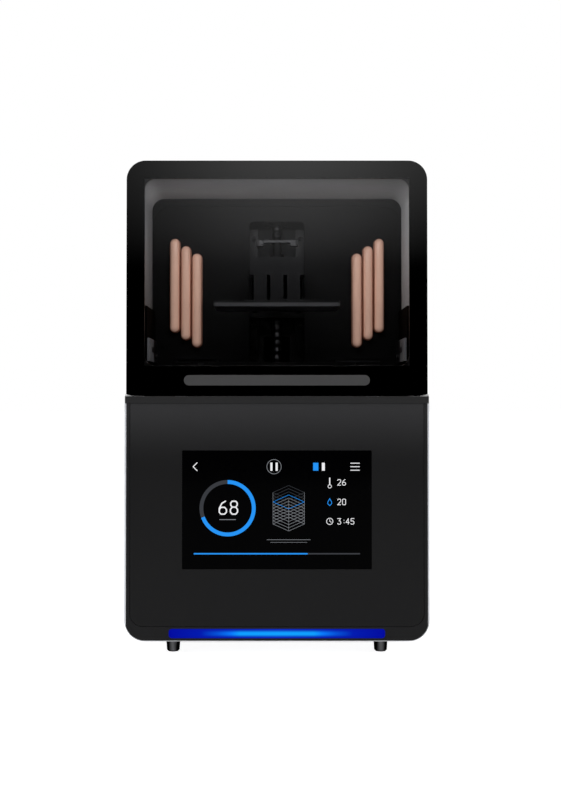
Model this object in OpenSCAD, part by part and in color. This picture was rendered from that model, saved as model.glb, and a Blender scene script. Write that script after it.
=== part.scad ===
// Desktop resin printer with a flip-up smoked hood, a projector below the vat and a screw-driven platform.
// Frame: +X to the right seen from the front, +Y to the rear, +Z up, millimetres.
// The origin is on the table, under the middle of the housing.

/* [Housing] */
// Width of the black front frame
base_w = 347; // [330:1:370]
// Depth from the front frame to the rear edge of the shell
base_d = 380; // [372:1:410]
// Height of the deck's top face above the table
deck_z = 297; // [290:1:310]
// Thickness of the deck plate
deck_t = 8; // [6:0.5:10]
// How far the deck stands out in front of and behind the housing
deck_lip = 0.8; // [0.4:0.2:2]
// Overhang of the deck past each side of the front frame
deck_side = 1.1; // [0.4:0.1:1.3]
// Radius of the long corners of base and hood
corner_r = 22; // [16:1:28]
// How far the silver shell stands outside the front frame
shell_lip = 1.7; // [1.3:0.1:2.2]
// Wall of the silver shell
shell_t = 2.5; // [2:0.25:3.5]
// Thickness of the front frame and front panel
front_t = 4; // [3:0.5:5]
// Width of the frame's border on each side of the front panel
border_w = 5.2; // [4.8:0.1:18]
// Height of the front panel's lower edge above the table
panel_foot = 34; // [33.5:0.5:50]
// Corner radius of the front panel
panel_r = 15; // [10:1:20]
// Width of the seam round the front panel
seam = 0.5; // [0.3:0.1:1]

/* [Feet] */
// Height of each rubber foot, which is the gap under the shell
foot_h = 16.2; // [14:0.2:17]
// Diameter of a foot at the shell
foot_top_d = 17; // [14:0.5:22]
// Diameter of a foot at the table
foot_table_d = 14.8; // [10:0.2:17]
// Distance between the left and right feet
foot_span = 242; // [200:2:280]
// Distance of the front and rear feet from the housing's ends
foot_inset = 34; // [26:1:60]

/* [Screen and light] */
// Width of the touch screen
screen_w = 217; // [180:1:230]
// Height of the touch screen
screen_h = 135.7; // [110:0.1:150]
// Height of the screen's middle above the table
screen_z = 167; // [150:1:185]
// Width of the status light
strip_w = 247.3; // [200:0.1:270]
// Height of the status light
strip_h = 10.4; // [6:0.1:10.6]
// Height of the status light's middle above the table
strip_z = 25.8; // [25.6:0.1:26]
// End radius of the status light
strip_r = 3.5; // [1:0.5:4]

/* [Hood] */
// How far the hood stands in from the front frame on each side
hood_inset = 0.5; // [0:0.1:1.2]
// Height of the hood's top above the table
hood_top = 568.5; // [566:0.5:590]
// Wall of the hood
hood_wall = 6; // [5:0.5:6.5]
// Gap between the deck and the hood's lower edge
hood_gap = 0.3; // [0.2:0.1:1.5]
// Length of the relief at the hood's lower corners
relief_w = 9; // [4:0.5:14]
// Height of the relief at the hood's lower corners
relief_h = 2.2; // [0.5:0.1:4]
// Thickness of the smoked front sheet
visor_t = 4; // [3:0.5:5]
// Thickness of the black border frame behind the sheet
mask_t = 3; // [2:0.5:4]
// Width of the clear window
window_w = 305; // [260:1:310]
// Height of the window's upper edge above the table
window_top = 548; // [520:1:550]
// Height of the window's lower edge above the table
window_foot = 332.4; // [328:0.2:350]
// Length of the grey grip strip
grip_w = 213.5; // [150:0.5:240]
// Height of the grey grip strip
grip_h = 11.9; // [8:0.1:13]
// Height of the grip strip's middle above the table
grip_z = 315.4; // [312:0.2:318]
// Distance of the hood's pivot in front of the tower's rear face
pivot_inset = 17; // [15:0.5:18]
// Depth of the hood's pivot below the tower's roof
pivot_drop = 12; // [11.5:0.5:15]
// Radius of the hood's pivot bolts
pivot_r = 4; // [3:0.5:5]

/* [Chamber] */
// Depth of the tower, from the chamber's rear wall to the back of the printer
tower_d = 130; // [128:1:134]
// Thickness of the chamber's rear wall
wall_t = 3; // [2:0.5:4]
// Gap on each side of the platform's arm in the slot of the rear wall
slot_gap = 4; // [2:0.5:15]
// Gap between the tower and the inside of the hood
tower_gap = 1.5; // [1.2:0.1:2]
// Gap between the tower's roof and the inside of the hood
roof_gap = 10.5; // [9.5:0.5:12.5]
// Wall of the tower's cover
tower_t = 2.5; // [2:0.25:3]
// Length of a heater lamp
lamp_len = 124; // [90:1:130]
// Diameter of a heater lamp
lamp_d = 11.8; // [8:0.2:13]
// Step from lamp to lamp, sideways
lamp_step = 14.7; // [14:0.1:16]
// Step from lamp to lamp, downwards
lamp_drop = 9.9; // [5:0.1:15]
// Number of lamps on each side
lamp_n = 3; // [2:1:3]
// Height of the outermost lamps' middle above the deck
lamp_rise = 148.5; // [120:0.5:160]
// Distance of the outermost lamps from the tower's side
lamp_inset = 29.3; // [20:0.1:40]

/* [Vat] */
// Distance of the vat's middle in front of the middle of the housing
vat_y = 75; // [72:1:78]
// Inside width of the vat
vat_in_w = 164; // [160:1:170]
// Inside depth of the vat
vat_in_d = 108; // [104:1:112]
// Wall of the vat
vat_wall = 10; // [8:0.5:11]
// Height of the vat above the deck
vat_h = 40; // [38:1:50]

/* [Platform] */
// Width of the build plate
plate_w = 151.8; // [130:0.2:154]
// Depth of the build plate
plate_d = 96; // [80:1:98]
// Thickness of the build plate
plate_t = 6.6; // [5:0.2:10]
// Height of the build plate's lower face above the table
plate_z = 405.3; // [402:0.1:406]
// Width of the platform's block
block_w = 66; // [64:1:70]
// Radius of the lift screw
screw_r = 6; // [5:0.5:7]
// Width of a guide rail
rail_w = 12; // [9:1:15]

/* [Hidden] */
$fn = 96;

// Small overcut so that cutters pass clean through a face
over = 1;
// Running clearance of a shaft in its bore
run = 0.06;
// Lift of a turning part off the face that it turns on
skim = 0.1;
// Gap between panels fitted into each other
fit = 0.15;

panel_w = base_w - 2 * border_w;
front_y = -base_d / 2;
rear_y = base_d / 2;
frame_back = front_y + front_t;
frame_foot = foot_h + shell_lip;
shell_w = base_w + 2 * shell_lip;
shell_in_w = shell_w - 2 * shell_t;
shell_r = corner_r + shell_lip;
shell_floor = foot_h + shell_t;
deck_under = deck_z - deck_t;
deck_w = base_w + 2 * deck_side;

// Ledge of the front frame that carries the front panel
ledge_t = 1.5;
ledge_w = 4;
panel_back = frame_back - ledge_t;
strip_flange = 1.5;

// Rear panel, set into the shell
rear_t = 2.5;
rear_recess = 2.5;
rear_face = rear_y - rear_recess;
rear_inner = rear_face - rear_t;

// Sheet tray on the floor of the shell
tray_t = 1.5;
tray_side = 3.5;
tray_front_gap = 12;
tray_rear_gap = 9;
tray_w = shell_in_w - 2 * (shell_r - shell_t + tray_side);
tray_front = frame_back + tray_front_gap;
tray_rear = rear_inner - tray_rear_gap;
tray_top = shell_floor + tray_t;
post_r = 5;
post_x = tray_w / 2 - post_r - 3;
post_gap = 7;
store_x = post_x - post_r - post_gap;

// Hood and tower
glue_t = 0.1;
hood_w = base_w - 2 * hood_inset;
hood_foot = deck_z + hood_gap;
hood_in_half = hood_w / 2 - hood_wall;
hood_front = front_y + visor_t + glue_t;
mask_back = hood_front + mask_t;
window_r = 12;
tower_half = hood_in_half - tower_gap;
tower_r = corner_r + 2;
tower_back_t = 2.5;
tower_rear = rear_y - tower_back_t;
wall_y = rear_y - tower_d;
wall_back = wall_y + wall_t;
tower_top = hood_top - hood_wall - roof_gap;
pivot_z = tower_top - pivot_drop;
pivot_y = rear_y - pivot_inset;
boss_r = 11;
boss_l = 18;
bolt_cover = 1.4;
slot_w = block_w + 2 * slot_gap;

// Vat on the deck
vat_out_w = vat_in_w + 2 * vat_wall;
vat_out_d = vat_in_d + 2 * vat_wall;
vat_out_r = 12;
vat_in_r = 5;
ring_t = 3.7;
film_t = 0.3;
film_top = deck_z + ring_t + film_t;
ear_w = 14;
ear_d = 44;
ear_h = 5;
clamp_out = 12;
clamp_x = vat_out_w / 2 + ear_w + clamp_out;
clamp_pin_r = 4;

// Lift
carriage_gap = 17;
carriage_front = wall_back + carriage_gap;
carriage_t = 10;
screw_out = 24;
screw_y = carriage_front + screw_out;
column_out = 16;
column_front = screw_y + column_out;
column_half = 45;
column_foot_half = 60;
rail_in = 13;
rail_x = column_half - rail_in;
rail_t = 8;
rail_front = column_front - rail_t;
bearing_drop = 21;
bearing_z = tower_top - bearing_drop;
bearing_h = 14;
journal_r = screw_r - 2;
cable_r = 8;
cable_in = 20;
cable_x = column_half / 2;
cable_y = column_front + cable_in;
carriage_back = carriage_front + carriage_t;
carriage_foot = plate_z - 0.3;
carriage_h = 65;
block_gap = 3;
shaft_r = 4;
coupling_rise = 24;
coupling_foot = 2;
coupling_top = deck_z + coupling_rise;
coupling_mid = deck_z + (coupling_rise + coupling_foot) / 2;

// Platform
plate_top = plate_z + plate_t;
mount_base_t = 3;
rib_h = 31;
mount_top_t = 3.5;
arm_foot = plate_top + mount_base_t + rib_h + mount_top_t;
arm_t = 18.5;
arm_top = arm_foot + arm_t;
spindle_y = -vat_y;
mount_half = 18;
arm_front = spindle_y - mount_half;
mount_rear = spindle_y + mount_half;
spindle_r = 5;

// Projector under the deck glass
proj_w = 120;
proj_d = 100;
proj_foot = 72;
proj_h = 90;
proj_top = proj_foot + proj_h;
lens_r = 28;
glass_w = 160;
glass_d = 104;
glass_t = 4;
seal_t = 1;
beam_w = 150;
beam_d = 94;

// Fans
fan_in = 53;
fan_x = store_x - fan_in;
fan_z = 150;
fan_size = 80;
fan_t = 25;
proj_fan_size = 60;
proj_fan_t = 15;
proj_fan_z = proj_foot + proj_h / 2;
proj_rear = -vat_y + proj_d / 2;

// Sockets and switch on the rear panel
inlet_in = 16;
inlet_x = inlet_in - store_x;
switch_step = 40;
switch_x = inlet_x + switch_step;
socket_z = 104;
inlet_w = 27.4;
inlet_h = 20.4;
switch_w = 16;
switch_h = 25;
switch_axis = rear_face - 1;
rocker_tilt = 10;
rocker_axle_r = 1.2;
ports_in = 44;
ports_x = store_x - ports_in;
ports_z = 62;
ports_w = 60;
ports_h = 17;

// Air filter and blower in the tower
filter_gap = 7;
filter_w = tower_half - tower_t - filter_gap - column_foot_half;
filter_x = -column_foot_half - filter_w / 2;
filter_wall = 2.5;
filter_foot = deck_z;
filter_h = 120;
hatch_in = 3;
blower_gap = 11;
blower_r = 44;
blower_x = tower_half - tower_t - blower_gap - blower_r;
blower_rise = 75;
blower_z = deck_z + blower_rise;
blower_t = 40;
blower_wall = 3;
blower_pin_r = 3;
blower_pin_l = blower_t * 0.7;
blower_inlet_r = 22;

// Heater lamps and side guards
lamp_x = tower_half - lamp_inset;
lamp_z = deck_z + lamp_rise;
holder_t = 3;
guard_t = 2.5;

black = [0.05, 0.05, 0.055];
satin = [0.12, 0.12, 0.13];
silver = [0.72, 0.74, 0.77];
steel = [0.6, 0.61, 0.63];
copper = [0.72, 0.45, 0.34];
blue = [0.05, 0.2, 0.9];
smoke = [0.1, 0.1, 0.12, 0.5];
board = [0.05, 0.25, 0.12];
clear = [0.7, 0.85, 0.95, 0.4];
resin = [0.8, 0.5, 0.2, 0.5];

// Flat outlines

// Rectangle with rounded corners, about the origin
module round_rect(w, h, r) {
    square([w - 2 * r, h], center = true);
    square([w, h - 2 * r], center = true);
    for (sx = [-1, 1], sy = [-1, 1])
        translate([sx * (w / 2 - r), sy * (h / 2 - r)]) circle(r);
}

// Upright outline with its two lower corners rounded
module tub(w, z0, z1, r) {
    translate([-w / 2, z0 + r]) square([w, z1 - z0 - r]);
    translate([r - w / 2, z0]) square([w - 2 * r, z1 - z0]);
    for (sx = [-1, 1])
        translate([sx * (w / 2 - r), z0 + r]) circle(r);
}

// Upright outline with its two upper corners rounded
module loaf(w, z0, z1, r) {
    translate([-w / 2, z0]) square([w, z1 - z0 - r]);
    translate([r - w / 2, z0]) square([w - 2 * r, z1 - z0]);
    for (sx = [-1, 1])
        translate([sx * (w / 2 - r), z1 - r]) circle(r);
}

// Placing

// Stands a flat outline upright, from y to y + t
module upright(y, t) {
    translate([0, y + t, 0]) rotate([90, 0, 0]) linear_extrude(t) children();
}

// Stands a side outline upright, from x to x + t
module sideways(x, t) {
    translate([x, 0, 0]) rotate([90, 0, 90]) linear_extrude(t) children();
}

// Box from one corner to the opposite one
module span(a, b) {
    translate(a) cube(b - a);
}

// Round bar along Y
module bar_y(x, z, r, y0, y1) {
    translate([x, y1, z]) rotate([90, 0, 0]) cylinder(h = y1 - y0, r = r);
}

// Round bar along X
module bar_x(y, z, r, x0, x1) {
    translate([x0, y, z]) rotate([0, 90, 0]) cylinder(h = x1 - x0, r = r);
}

// The children and their mirror image
module both_sides() {
    children();
    mirror([1, 0, 0]) children();
}

// Base

module base_shell() {
    vent_n = 8;
    vent_h = 4;
    vent_step = 11;
    vent_z = 60;
    vent_y0 = 40;
    vent_y1 = 120;
    floor_n = 7;
    floor_step = 14;
    floor_x = 70;
    floor_w = 5;
    color(silver) difference() {
        upright(frame_back, rear_y - frame_back) difference() {
            tub(shell_w, foot_h, deck_under, shell_r);
            tub(shell_in_w, shell_floor, deck_under + over, shell_r - shell_t);
        }
        both_sides() for (i = [0 : vent_n - 1])
            span([shell_in_w / 2 - over, vent_y0, vent_z + i * vent_step],
                [shell_w / 2 + over, vent_y1, vent_z + i * vent_step + vent_h]);
        both_sides() for (i = [0 : floor_n - 1])
            span([floor_x, vent_y0 - 2 * floor_step + i * floor_step, foot_h - over],
                [floor_x + vent_step * 4, vent_y0 - 2 * floor_step + i * floor_step + floor_w,
                    shell_floor + over]);
    }
}

module front_frame() {
    color(black) difference() {
        upright(front_y, front_t) tub(base_w, frame_foot, deck_under, corner_r);
        upright(front_y - over, front_t - ledge_t + over)
            tub(panel_w + 2 * seam, panel_foot - seam, deck_under + over, panel_r + seam);
        upright(front_y, front_t + over)
            tub(panel_w - 2 * ledge_w, panel_foot + ledge_w, deck_under + over, panel_r - ledge_w);
        upright(front_y - over, front_t + 2 * over) translate([0, strip_z])
            round_rect(strip_w + 2 * fit, strip_h + 2 * fit, strip_r + fit);
    }
}

module front_panel() {
    color(satin) difference() {
        upright(front_y, front_t - ledge_t) tub(panel_w, panel_foot, deck_under, panel_r);
        upright(front_y - over, front_t + over) translate([0, screen_z])
            square([screen_w + 2 * fit, screen_h + 2 * fit], center = true);
    }
}

module display_glass() {
    color(black) upright(front_y, front_t - ledge_t) translate([0, screen_z])
        square([screen_w, screen_h], center = true);
}

module display_module() {
    rim = 6;
    module_t = 7;
    back_w = 150;
    back_h = 80;
    back_t = 6;
    color(satin) {
        upright(panel_back, module_t) translate([0, screen_z])
            square([screen_w + 2 * rim, screen_h + 2 * rim], center = true);
        upright(panel_back + module_t, back_t) translate([0, screen_z])
            round_rect(back_w, back_h, rim);
    }
}

module light_strip() {
    flange_w = 4;
    color(blue) {
        upright(front_y, front_t) translate([0, strip_z]) round_rect(strip_w, strip_h, strip_r);
        upright(frame_back, strip_flange) translate([0, strip_z])
            round_rect(strip_w + 2 * flange_w, strip_h + 2 * over, strip_r);
    }
}

module light_strip_board() {
    board_t = 1.6;
    plug_w = 14;
    plug_h = 7;
    plug_t = 5;
    plug_x = 60;
    color(board) {
        upright(frame_back + strip_flange, board_t) translate([0, strip_z])
            square([strip_w + 2 * over, strip_h + 2 * over], center = true);
        both_sides() upright(frame_back + strip_flange + board_t, plug_t) translate([plug_x, strip_z])
            square([plug_w, plug_h], center = true);
    }
}

module rear_panel() {
    inner_r = shell_r - shell_t - fit;
    grille_r = 36;
    grille_n = 5;
    grille_step = 6.4;
    grille_slot = 3.6;
    color(satin) difference() {
        upright(rear_inner, rear_t) tub(shell_in_w - 2 * fit, shell_floor + fit, deck_under, inner_r);
        upright(rear_inner - over, rear_t + 2 * over) {
            translate([inlet_x, socket_z]) square([inlet_w, inlet_h], center = true);
            translate([switch_x, socket_z]) square([switch_w, switch_h], center = true);
            translate([ports_x, ports_z]) square([ports_w, ports_h], center = true);
            for (i = [-grille_n : grille_n])
                translate([fan_x, fan_z + i * grille_step])
                    square([2 * sqrt(pow(grille_r, 2) - pow(i * grille_step, 2)), grille_slot],
                        center = true);
        }
    }
}

module chassis_tray() {
    lip_t = 1.5;
    lip_h = 12;
    hole_n = 7;
    hole_step = 14;
    hole_y = 12;
    hole_w = 5;
    hole_x0 = 74;
    hole_x1 = 110;
    color(steel) difference() {
        union() {
            span([-tray_w / 2, tray_front, shell_floor], [tray_w / 2, tray_rear, tray_top]);
            for (y = [tray_front, tray_rear - lip_t])
                span([-tray_w / 2, y, shell_floor], [tray_w / 2, y + lip_t, tray_top + lip_h]);
        }
        both_sides() for (i = [0 : hole_n - 1])
            span([hole_x0, hole_y + i * hole_step, shell_floor - over],
                [hole_x1, hole_y + i * hole_step + hole_w, tray_top + over]);
    }
}

module deck_posts() {
    foot_r = post_r + 1;
    foot_t = 4;
    post_y = base_d / 2 - 30;
    color(steel) both_sides() for (y = [-post_y, 0, post_y]) translate([post_x, y, tray_top]) {
        cylinder(h = deck_under - tray_top, r = post_r);
        cylinder(h = foot_t, r = foot_r);
    }
}

module rubber_feet() {
    edge = 1.6;
    foot_y = base_d / 2 - foot_inset;
    color(black) for (sx = [-1, 1], sy = [-1, 1])
        translate([sx * foot_span / 2, sy * foot_y, 0]) {
            cylinder(h = edge, r1 = foot_table_d / 2 - edge, r2 = foot_table_d / 2);
            translate([0, 0, edge])
                cylinder(h = foot_h - edge, d1 = foot_table_d, d2 = foot_top_d);
        }
}

module deck_plate() {
    rebate = glass_t + seal_t;
    edge_fit = 0.5;
    edge_r = 2;
    color(satin) difference() {
        translate([0, 0, deck_under]) linear_extrude(deck_t)
            round_rect(deck_w, base_d + 2 * deck_lip, edge_r);
        translate([0, -vat_y, deck_under - over]) linear_extrude(deck_t + 2 * over)
            square([beam_w, beam_d], center = true);
        translate([0, -vat_y, deck_under - over]) linear_extrude(rebate + over)
            square([glass_w + 2 * edge_fit, glass_d + 2 * edge_fit], center = true);
        translate([0, screw_y, deck_under - over])
            cylinder(h = deck_t + 2 * over, r = shaft_r + 3);
        for (sx = [-1, 1]) {
            translate([sx * clamp_x, -vat_y, deck_under - over])
                cylinder(h = deck_t + 2 * over, r = clamp_pin_r + run);
            translate([sx * cable_x, cable_y, deck_under - over])
                cylinder(h = deck_t + 2 * over, r = cable_r);
        }
    }
}

module deck_seal() {
    color(black) translate([0, -vat_y, deck_under + glass_t]) linear_extrude(seal_t) difference() {
        square([glass_w, glass_d], center = true);
        square([beam_w, beam_d], center = true);
    }
}

module deck_glass() {
    color(clear) translate([0, -vat_y, deck_under]) linear_extrude(glass_t)
        square([glass_w, glass_d], center = true);
}

// Projector

module projector_body() {
    fin_n = 9;
    fin_t = 3;
    fin_h = 24;
    fin_base = 4;
    fin_step = (proj_w - 2 * fin_t) / (fin_n - 1);
    edge_r = 6;
    color(satin) {
        translate([0, -vat_y, proj_foot]) linear_extrude(proj_h) round_rect(proj_w, proj_d, edge_r);
        translate([0, -vat_y, proj_foot - fin_base]) linear_extrude(fin_base)
            square([proj_w - fin_t, proj_d - 2 * edge_r], center = true);
        for (i = [0 : fin_n - 1])
            translate([i * fin_step - proj_w / 2 + fin_t, -vat_y, proj_foot - fin_h / 2])
                cube([fin_t, proj_d - 2 * edge_r, fin_h], center = true);
    }
}

module projector_lens() {
    barrel_h = 34;
    ring_h = 10;
    ring_r = lens_r + 4;
    dish_r = lens_r - 5;
    dish_d = 3;
    groove_n = 4;
    groove_w = 2;
    groove_d = 1.5;
    groove_z = 8;
    color(black) translate([0, -vat_y, proj_top]) rotate_extrude() difference() {
        union() {
            square([lens_r, barrel_h]);
            translate([0, barrel_h]) square([ring_r, ring_h]);
        }
        translate([0, barrel_h + ring_h - dish_d]) square([dish_r, dish_d + over]);
        for (i = [0 : groove_n - 1])
            translate([lens_r - groove_d, groove_z + 2 * i * groove_w]) square([groove_d + over, groove_w]);
    }
}

module projector_bracket() {
    side_t = 4;
    foot_w = 16;
    side_h = proj_foot + 40;
    side_y = proj_d / 2 - 10;
    color(steel) both_sides() {
        span([proj_w / 2, -vat_y - side_y, tray_top], [proj_w / 2 + side_t, -vat_y + side_y, side_h]);
        span([proj_w / 2, -vat_y - side_y, tray_top],
            [proj_w / 2 + foot_w, -vat_y + side_y, tray_top + side_t]);
    }
}

// Square fan frame lying in the XZ plane, its airway open
module fan_frame(x, z, size, y, t) {
    edge_r = size / 20;
    hub_r = size * 0.23;
    arm_w = size / 16;
    web_t = t / 8;
    rim = 2;
    hole_at = size / 2 - size * 0.06;
    difference() {
        upright(y, t) translate([x, z]) round_rect(size, size, edge_r);
        bar_y(x, z, size / 2 - rim, y - over, y + t + over);
        for (sx = [-1, 1], sz = [-1, 1])
            bar_y(x + sx * hole_at, z + sz * hole_at, size * 0.027, y - over, y + t + over);
    }
    upright(y, web_t) translate([x, z]) intersection() {
        union() {
            circle(hub_r);
            for (a = [45, 135]) rotate(a) square([size, arm_w], center = true);
        }
        circle(size / 2 - rim / 2);
    }
    bar_y(x, z, size * 0.04, y, y + t * 0.6);
}

// Rotor of a fan: hub, bore and slanted blades
module fan_rotor(x, z, size, y, t) {
    hub_r = size * 0.22;
    tip_r = size / 2 - 3.2;
    blades = 7;
    blade_t = size / 45;
    web_t = t / 8;
    y0 = y + web_t + skim * 4;
    y1 = y + t - skim * 4;
    difference() {
        union() {
            bar_y(x, z, hub_r, y0, y1);
            intersection() {
                for (i = [0 : blades - 1]) translate([x, (y0 + y1) / 2, z]) rotate([0, i * 360 / blades, 0])
                    rotate([0, 0, 0]) translate([0, 0, 0]) rotate([0, 0, 32])
                        translate([-blade_t / 2, -t / 2 + blade_t, 0])
                            cube([blade_t, t - 2 * blade_t, tip_r + over]);
                bar_y(x, z, tip_r, y0, y1);
            }
        }
        bar_y(x, z, size * 0.04 + run, y0 - over, y + t * 0.6 + run);
    }
}

module projector_fan_frame() {
    color(black) fan_frame(0, proj_fan_z, proj_fan_size, proj_rear, proj_fan_t);
}

module projector_fan_rotor() {
    color(satin) fan_rotor(0, proj_fan_z, proj_fan_size, proj_rear, proj_fan_t);
}

module exhaust_fan_frame() {
    color(black) fan_frame(fan_x, fan_z, fan_size, rear_inner - fan_t, fan_t);
}

module exhaust_fan_rotor() {
    color(satin) fan_rotor(fan_x, fan_z, fan_size, rear_inner - fan_t, fan_t);
}

// Power and control

module power_supply() {
    w = 56;
    x0 = -store_x;
    x1 = x0 + w;
    y0 = 6;
    y1 = 150;
    h = 44;
    term_in = 4;
    term_d = 14;
    term_h = 18;
    color(steel) {
        span([x0, y0, tray_top], [x1, y1, tray_top + h]);
        span([x0 + term_in, y1, tray_top], [x1 - term_in, y1 + term_d, tray_top + term_h]);
    }
}

module main_board() {
    w = 84;
    d = 120;
    x0 = store_x - w;
    y0 = 14;
    lift = 8;
    board_t = 1.6;
    stud_r = 3;
    stud_in = 6;
    cooler_x = 22;
    cooler_y = 40;
    cooler_w = 24;
    cooler_h = 9;
    chip_x = 54;
    chip_y = 30;
    chip_w = 20;
    chip_h = 3;
    plug_n = 4;
    plug_in = 8;
    plug_step = 18;
    plug_w = 12;
    plug_d = 8;
    plug_h = 10;
    can_n = 3;
    can_x = 14;
    can_y = 16;
    can_step = 14;
    can_r = 4.5;
    can_h = 14;
    color(board) translate([x0, y0, tray_top]) {
        translate([0, 0, lift]) cube([w, d, board_t]);
        for (x = [stud_in, w - stud_in], y = [stud_in, d - stud_in])
            translate([x, y, 0]) cylinder(h = lift, r = stud_r);
        translate([0, 0, lift + board_t]) {
            translate([cooler_x, cooler_y, 0]) cube([cooler_w, cooler_w, cooler_h]);
            translate([chip_x, chip_y, 0]) cube([chip_w, chip_w, chip_h]);
            for (i = [0 : plug_n - 1])
                translate([plug_in + i * plug_step, d - plug_d - plug_in / 2, 0])
                    cube([plug_w, plug_d, plug_h]);
            for (i = [0 : can_n - 1])
                translate([can_x, can_y + i * can_step, 0]) cylinder(h = can_h, r = can_r);
        }
    }
}

module mains_inlet() {
    flange_t = 2;
    flange_w = 3;
    body_d = 22;
    cup_wall = 1.7;
    cup_d = 16;
    pin_step = 7;
    pin_w = 2;
    pin_h = 4;
    pin_end = 5;
    pin_high = 3;
    pin_low = -2;
    color(black) {
        difference() {
            union() {
                upright(rear_face, flange_t) translate([inlet_x, socket_z])
                    round_rect(inlet_w + 2 * flange_w, inlet_h + 2 * flange_w, flange_w);
                upright(rear_face - body_d, body_d) translate([inlet_x, socket_z])
                    square([inlet_w, inlet_h], center = true);
            }
            upright(rear_face + flange_t - cup_d, cup_d + over) translate([inlet_x, socket_z])
                round_rect(inlet_w - 2 * cup_wall, inlet_h - 2 * cup_wall, 1.5 * cup_wall);
        }
        for (i = [-1 : 1])
            upright(rear_face + flange_t - cup_d - over, cup_d + over - pin_end)
                translate([inlet_x + i * pin_step, socket_z + (i == 0 ? pin_high : pin_low)])
                    square([pin_w, pin_h], center = true);
    }
}

module rocker_frame() {
    flange_t = 1.6;
    flange_w = 2;
    body_d = 14;
    well_wall = 2.3;
    well_d = 8.6;
    color(black) difference() {
        union() {
            upright(rear_face, flange_t) translate([switch_x, socket_z])
                round_rect(switch_w + 2 * flange_w, switch_h + 2 * flange_w, flange_w);
            upright(rear_face - body_d, body_d) translate([switch_x, socket_z])
                square([switch_w, switch_h], center = true);
        }
        upright(rear_face + flange_t - well_d, well_d + over) translate([switch_x, socket_z])
            square([switch_w - 2 * well_wall - fit, switch_h - 2 * well_wall], center = true);
        bar_x(switch_axis, socket_z, rocker_axle_r + run, switch_x - switch_w / 2 + over,
            switch_x + switch_w / 2 - over);
    }
}

module power_rocker() {
    half_w = switch_w / 2 - 2.7;
    half_h = switch_h / 2 - 3;
    deep = 3;
    high = 1.2;
    axle_half = switch_w / 2 - 1.2;
    color(satin) translate([switch_x, switch_axis, socket_z]) rotate([rocker_tilt, 0, 0]) {
        translate([-half_w, 0, 0]) rotate([90, 0, 90]) linear_extrude(2 * half_w)
            polygon([[-deep, -half_h], [high, -half_h], [high / 4, 0], [high, half_h], [-deep, half_h]]);
        bar_x(0, 0, rocker_axle_r, -axle_half, axle_half);
    }
}

module data_ports() {
    body_d = 20;
    flange_t = 1.2;
    flange_w = 2;
    usb_w = 14;
    usb_h = 6.6;
    usb_d = 14;
    usb_x = 12;
    usb_step = 14;
    net_w = 15;
    net_h = 12;
    net_x = -18;
    color(steel) difference() {
        union() {
            upright(rear_face - body_d, body_d) translate([ports_x, ports_z])
                square([ports_w, ports_h], center = true);
            upright(rear_face, flange_t) translate([ports_x, ports_z])
                square([ports_w + 2 * flange_w, ports_h + 2 * flange_w], center = true);
        }
        upright(rear_face + flange_t - usb_d, usb_d + over) {
            for (sx = [-1, 1])
                translate([ports_x + usb_x + sx * usb_step / 2, ports_z])
                    square([usb_h, usb_w], center = true);
            translate([ports_x + net_x, ports_z]) square([net_w, net_h], center = true);
        }
    }
}

// Tower

module tower_shell() {
    color(satin) difference() {
        union() {
            upright(wall_back, tower_rear - wall_back) difference() {
                loaf(2 * tower_half, deck_z, tower_top, tower_r);
                loaf(2 * (tower_half - tower_t), deck_z - over, tower_top - tower_t, tower_r - tower_t);
            }
            both_sides() bar_x(pivot_y, pivot_z, boss_r, tower_half - boss_l, tower_half);
        }
        both_sides() bar_x(pivot_y, pivot_z, pivot_r, tower_half - boss_l - over, tower_half + over);
        both_sides() span([tower_half - boss_l - over, tower_rear, pivot_z - boss_r - over],
            [tower_half + over, rear_y + over, pivot_z + boss_r + over]);
    }
}

module tower_back() {
    vent_n = 7;
    vent_w = 70;
    vent_h = 4;
    vent_step = 10;
    vent_z = blower_z - (vent_n - 1) / 2 * vent_step - vent_h / 2;
    color(satin) difference() {
        upright(tower_rear, tower_back_t) loaf(2 * tower_half, deck_z, tower_top, tower_r);
        span([filter_x - filter_w / 2 + hatch_in, tower_rear - over, filter_foot + hatch_in],
            [filter_x + filter_w / 2 - hatch_in, rear_y + over, filter_foot + filter_h - hatch_in]);
        for (i = [0 : vent_n - 1])
            span([blower_x - vent_w / 2, tower_rear - over, vent_z + i * vent_step],
                [blower_x + vent_w / 2, rear_y + over, vent_z + i * vent_step + vent_h]);
    }
}

module chamber_wall() {
    slot_foot = deck_z + 8;
    slot_top = bearing_z + 1;
    slot_r = 6;
    grille_n = 7;
    grille_w = 60;
    grille_h = 3;
    grille_step = 6;
    grille_z = deck_z + 11;
    color(satin) difference() {
        upright(wall_y, wall_t) loaf(2 * tower_half, deck_z, tower_top, tower_r);
        upright(wall_y - over, wall_t + 2 * over) translate([0, (slot_foot + slot_top) / 2])
            round_rect(slot_w, slot_top - slot_foot, slot_r);
        both_sides() for (i = [0 : grille_n - 1])
            span([-filter_x - grille_w / 2, wall_y - over, grille_z + i * grille_step],
                [grille_w / 2 - filter_x, wall_back + over, grille_z + i * grille_step + grille_h]);
    }
}

module chamber_light() {
    bar_in = 32.5;
    bar_w = window_w - 2 * bar_in;
    bar_d = 11;
    bar_h = 8;
    lens_in = 4;
    lens_t = 2;
    top = hood_top - hood_wall;
    color(silver) {
        span([-bar_w / 2, mask_back, top - bar_h], [bar_w / 2, mask_back + bar_d, top]);
        span([lens_in - bar_w / 2, mask_back + lens_t, top - bar_h - lens_t],
            [bar_w / 2 - lens_in, mask_back + bar_d - lens_t, top - bar_h]);
    }
}

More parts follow.
